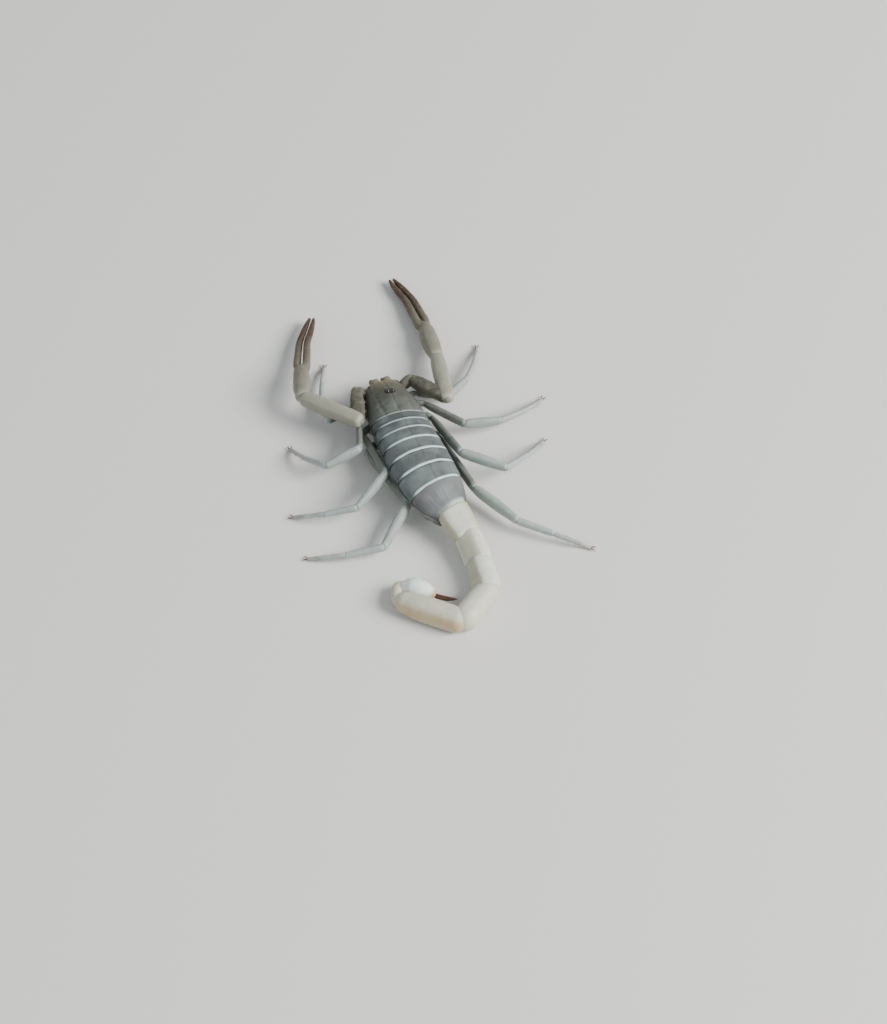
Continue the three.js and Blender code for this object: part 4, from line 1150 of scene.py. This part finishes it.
def make_chelicera(side):
    """Short mouth claw: a barrel that ends in a fixed finger and a movable one with teeth."""
    limb = Limb(f"chelicera_{side}", CAD_SIDES["palp"], body.middle[0])
    seed = 900 if side == "left" else 950

    def net(share, angle, points):
        dark = 0.62 - 0.35 * step(np.abs(noise(points, 0.2, seed)), 0.0, 0.2)
        return paint(dark, 0.1, 0.08 + 0.3 * step(share, 0.7, 1.0))

    def brown(share, angle, points):
        return paint(0.3, 0, 0.45 + 0.5 * step(share, 0.1, 0.7))

    shape = Shape()
    relief = skin(seed, (0.012, 0.08, 0.5), ((0.01, 0.2),))
    grid = segment(shape, limb, 0, 3, 0.3, 0.12, ((0, 0.85), (0.3, 1.0), (0.8, 1.0), (1, 0.8)), sides=32,
                   caps=(0.1, 0.2), spacing=0.05, relief=relief, tint=net)
    way = unit(limb.points[-1] - limb.points[3])
    left = np.cross(UP, way)
    for out, drop, length in ((-SIDES[side], 0.05, 0.58), (SIDES[side], -0.04, 0.66)):
        root = limb.points[3] + left * out * 0.2 + UP * drop
        line = np.array([root + way * ahead + left * out * aside for ahead, aside in (
            (-0.22, 0), (length * 0.5, 0.09), (length * 0.85, -0.03), (length, -0.15))])
        tube(shape, Spine(line, UP), [(0, 0.25), (0.45, 0.19), (0.8, 0.09), (1, 0.035)],
             [(0, 0.34), (0.45, 0.24), (0.8, 0.11), (1, 0.04)], sides=18, caps=(0.06, 0.03), spacing=0.04,
             tint=brown)
        denticles(shape, line[1:3] - left * out * 0.12, 3, 0.055, (0.3, 0, 1))
    shape.piece(f"mouth_claw_{side}", "claw", "claw", f"chelicera_{side}")
    comb("body", grid, 24, 0.22, seed + 3)


def make_pectine(side):
    """Comb behind the last legs: jointed front bar, small knobs, and a row of flat teeth."""
    limb = Limb(f"pectine_{side}", CAD_SIDES["pectine"], body.middle[6] * LEVEL)
    shape = Shape()
    spine = Spine(limb.points, UP)
    teeth = 21
    centre, across, top, way = spine.frames(np.linspace(0.1, spine.length - 0.05, teeth))
    back = across * np.sign(across[:, 1:2])
    lead = centre - back * 0.14
    for a, b in ((0, 7), (7, 14), (14, teeth - 1)):
        tube(shape, Spine(lead[a:b + 1], UP), [(0, 0.12), (0.5, 0.14), (1, 0.11)], [(0, 0.10), (1, 0.09)],
             sides=16, caps=(0.08, 0.08), spacing=0.06, tint=(0.1, 0.2, 0.1))
    for k in range(teeth):
        shrink = 1 - 0.35 * (k / (teeth - 1)) ** 2
        ball(shape, centre[k] - back[k] * 0.01, (0.085,) * 3, EVEN, (0.15, 0.3, 0.15), rings=6, sides=10)
        ball(shape, centre[k] + back[k] * 0.2 * shrink, (0.056, 0.21 * shrink, 0.075),
             (way[k], np.cross(top[k], way[k]), top[k]), (0.02, 0.5, 0.1), rings=8, sides=12)
    shape.piece(f"comb_{side}", "belly", "shell", f"pectine_{side}")


BASE_WIDTHS = (0.36, 0.30, 0.34, 0.38, 0.42)  # half widths of the bases, from the pincer arm to the last leg


def make_leg_bases(hips):
    """Bases of the pincer arms and the legs, the breast plate between them and the two genital lids."""
    shape = Shape()
    fan = np.linspace(head_start + 0.9, waist + 0.3, len(BASE_WIDTHS))
    for side, sign in SIDES.items():
        for k, (hip, wide) in enumerate(zip(hips[side], BASE_WIDTHS)):
            inner = body.outline(fan[k], math.pi * (1 - sign * 0.13)) + UP * 0.10
            outer = hip + (hip - inner) * LEVEL * 0.02
            bend = inner * 0.45 + outer * 0.55 - UP * 0.22
            bend[2] = max(bend[2], wide + 0.12)
            seed = 1000 + 10 * k
            relief = skin(seed, (0.014, 0.09, 0.5), ((0.012, 0.3),), ((200, 340), 0.02, 0.2, 0.12))

            def tint(share, angle, points, seed=seed):
                return paint(0.3 + 0.2 * noise(points, 0.4, seed), 0.1, 0.15)

            tube(shape, Spine([inner, bend, outer], UP), [(0, wide * 0.75), (0.5, wide), (1, wide * 0.86)],
                 [(0, 0.26), (0.5, 0.34), (1, 0.34)], sides=28, caps=(0.15, 0.2), square=0.85, spacing=0.07,
                 relief=relief, tint=tint)
    ball(shape, body.outline(fan[3] + 0.1, math.pi) + UP * 0.04, (0.34, 0.42, 0.12), EVEN, (0.2, 0.2, 0.2))
    for sign in SIDES.values():
        spot = body.outline(fan[3] + 0.72, math.pi) + [sign * 0.27, 0, 0.04]
        ball(shape, spot, (0.30, 0.24, 0.09), EVEN, (0.15, 0.3, 0.15))
    shape.piece("leg_bases", "belly", "shell")


BELLY_AHEAD = 0.25  # how far a belly plate lies ahead of the back plate of its number
BELLY_OVERLAP = 0.18
SLIT_SIDE = 0.62  # where the breathing slits are, as a share of the plate's half width


def make_belly_plate(k):
    """Belly plate under the back plate of the same number, with two breathing slits on all but the last."""
    final = k == TERGITES[-1]
    first = plate_ends[k - 1][0] - BELLY_AHEAD
    last = BELLY_OVERLAP + (body.s[-1] - 0.1 if final else plate_ends[k][0] - BELLY_AHEAD)
    t, open_t = rims(last - first, 0.04, 0.06)
    a, open_a = rims(math.pi * 0.52, 0.03, 0.035)
    turn, t_grid = np.meshgrid(math.pi * 0.74 + a, t)
    s = first + t_grid
    spot = body.outline(s, turn)
    out = unit(spot - body.axes(s)[0])
    left_over = last - s
    side_share = np.abs(turn - math.pi) / (math.pi * 0.26)
    slit = (not final) * ridge(side_share, SLIT_SIDE, 0.16) * ridge(left_over, 0.55, 0.07)
    lift = -0.08 * (1 - step(t_grid, 0, 0.3)) + 0.03 * ridge(left_over, 0.06, 0.05)
    lift = lift + 0.02 * noise(spot, 0.8, 1100 + k) + 0.006 * granules(s, spot[..., 0], 0.13, 0.4, 1120 + k)
    lift = lift - 0.05 * slit + 0.02 * ridge(side_share, SLIT_SIDE, 0.2) * ridge(left_over, 0.42, 0.05)
    spot = spot + out * (lift + 0.03)[..., None]
    spot[..., 2] = np.maximum(spot[..., 2], 0.03)
    dark = 0.1 + 0.7 * slit + 0.1 * noise(spot, 0.5, 1140 + k)
    tint = paint(dark, 0.35 + 0.3 * ridge(left_over, 0.0, 0.1), 0.1)
    shape = Shape()
    sheet(shape, spot, 0.08, np.minimum(open_t[:, None], open_a), tint)
    shape.piece(f"belly_plate_{k}", "belly", "shell")


make_carapace()
make_eyes()
for k in TERGITES:
    make_tergite(k)
make_trunk()
hips = {}
for side in SIDES:
    limbs = [make_palp(side), *(make_leg(side, number) for number in range(1, 5))]
    hips[side] = [limb.points[0] for limb in limbs]
    make_chelicera(side)
    make_pectine(side)
make_leg_bases(hips)
for k in TERGITES[2:]:
    make_belly_plate(k)
make_tail()
CLAWS.piece("tarsal_claws", "sting", "leg")
for group, slot in (("leg", "leg"), ("pincer", "claw"), ("tail", "tail"), ("body", "shell")):
    make_hairs(group, slot)


# ---- floor, light and camera ----

FLOOR = (0.72, 0.71, 0.69, 1)
SKY = (0.91, 0.955, 1.0, 1)
SKY_STRENGTH = 0.47
# Square lamps that shine at the middle of the floor: place and size in metres, watts and colour.
LAMPS = {
    "key": ((-0.33, 0.17, 0.28), 0.24, 4.2, (1.0, 0.98, 0.96)),
    "fill": ((0.38, 0.18, 0.30), 0.35, 0.5, (0.92, 0.96, 1.0)),
}
# The view turns about the waist. Its middle lies this far to the right of the waist and below it, in mm.
VIEW = {"turn": 12.0, "rise": 52.0, "distance": 300.0, "lens": 122.3, "right": 3.57, "below": 8.75}


def stand(name, data, place, way):
    """New lamp or camera at a place, looking along way."""
    thing = bpy.data.objects.new(name, data)
    thing.location = place
    thing.rotation_euler = way.to_track_quat("-Z", "Y").to_euler()
    bpy.context.scene.collection.objects.link(thing)
    return thing


def make_stage():
    """Plain pale floor and soft studio light."""
    bpy.ops.mesh.primitive_plane_add(size=3.0, location=(0, 0, 0))
    floor = bpy.context.object
    floor.name = "floor"
    material = bpy.data.materials.new("floor")
    material.use_nodes = True
    shader = material.node_tree.nodes["Principled BSDF"]
    shader.inputs["Base Color"].default_value = FLOOR
    shader.inputs["Roughness"].default_value = 0.75
    floor.data.materials.append(material)
    world = bpy.data.worlds.new("studio")
    bpy.context.scene.world = world
    world.use_nodes = True
    world.node_tree.nodes["Background"].inputs["Color"].default_value = SKY
    world.node_tree.nodes["Background"].inputs["Strength"].default_value = SKY_STRENGTH
    for name, (place, size, watts, colour) in LAMPS.items():
        light = bpy.data.lights.new(name, "AREA")
        light.energy, light.size, light.color = watts, size, colour
        stand(name, light, place, -Vector(place))


def make_camera():
    """Camera at the view's angle and distance, aimed so that the whole animal is in frame."""
    turn, rise = math.radians(VIEW["turn"]), math.radians(VIEW["rise"])
    back = Vector((math.sin(turn) * math.cos(rise), math.cos(turn) * math.cos(rise), math.sin(rise)))
    right = Vector((-math.cos(turn), math.sin(turn), 0))
    above = right.cross(-back)
    waist_top = Vector(body.back(waist, math.pi / 2))
    place = waist_top + back * VIEW["distance"]
    data = bpy.data.cameras.new("camera")
    data.sensor_width = 36
    data.lens = VIEW["lens"]
    data.clip_start, data.clip_end = 0.01, 10
    look = waist_top + right * VIEW["right"] - above * VIEW["below"] - place
    bpy.context.scene.camera = stand("camera", data, place * MM, look)


make_stage()
make_camera()
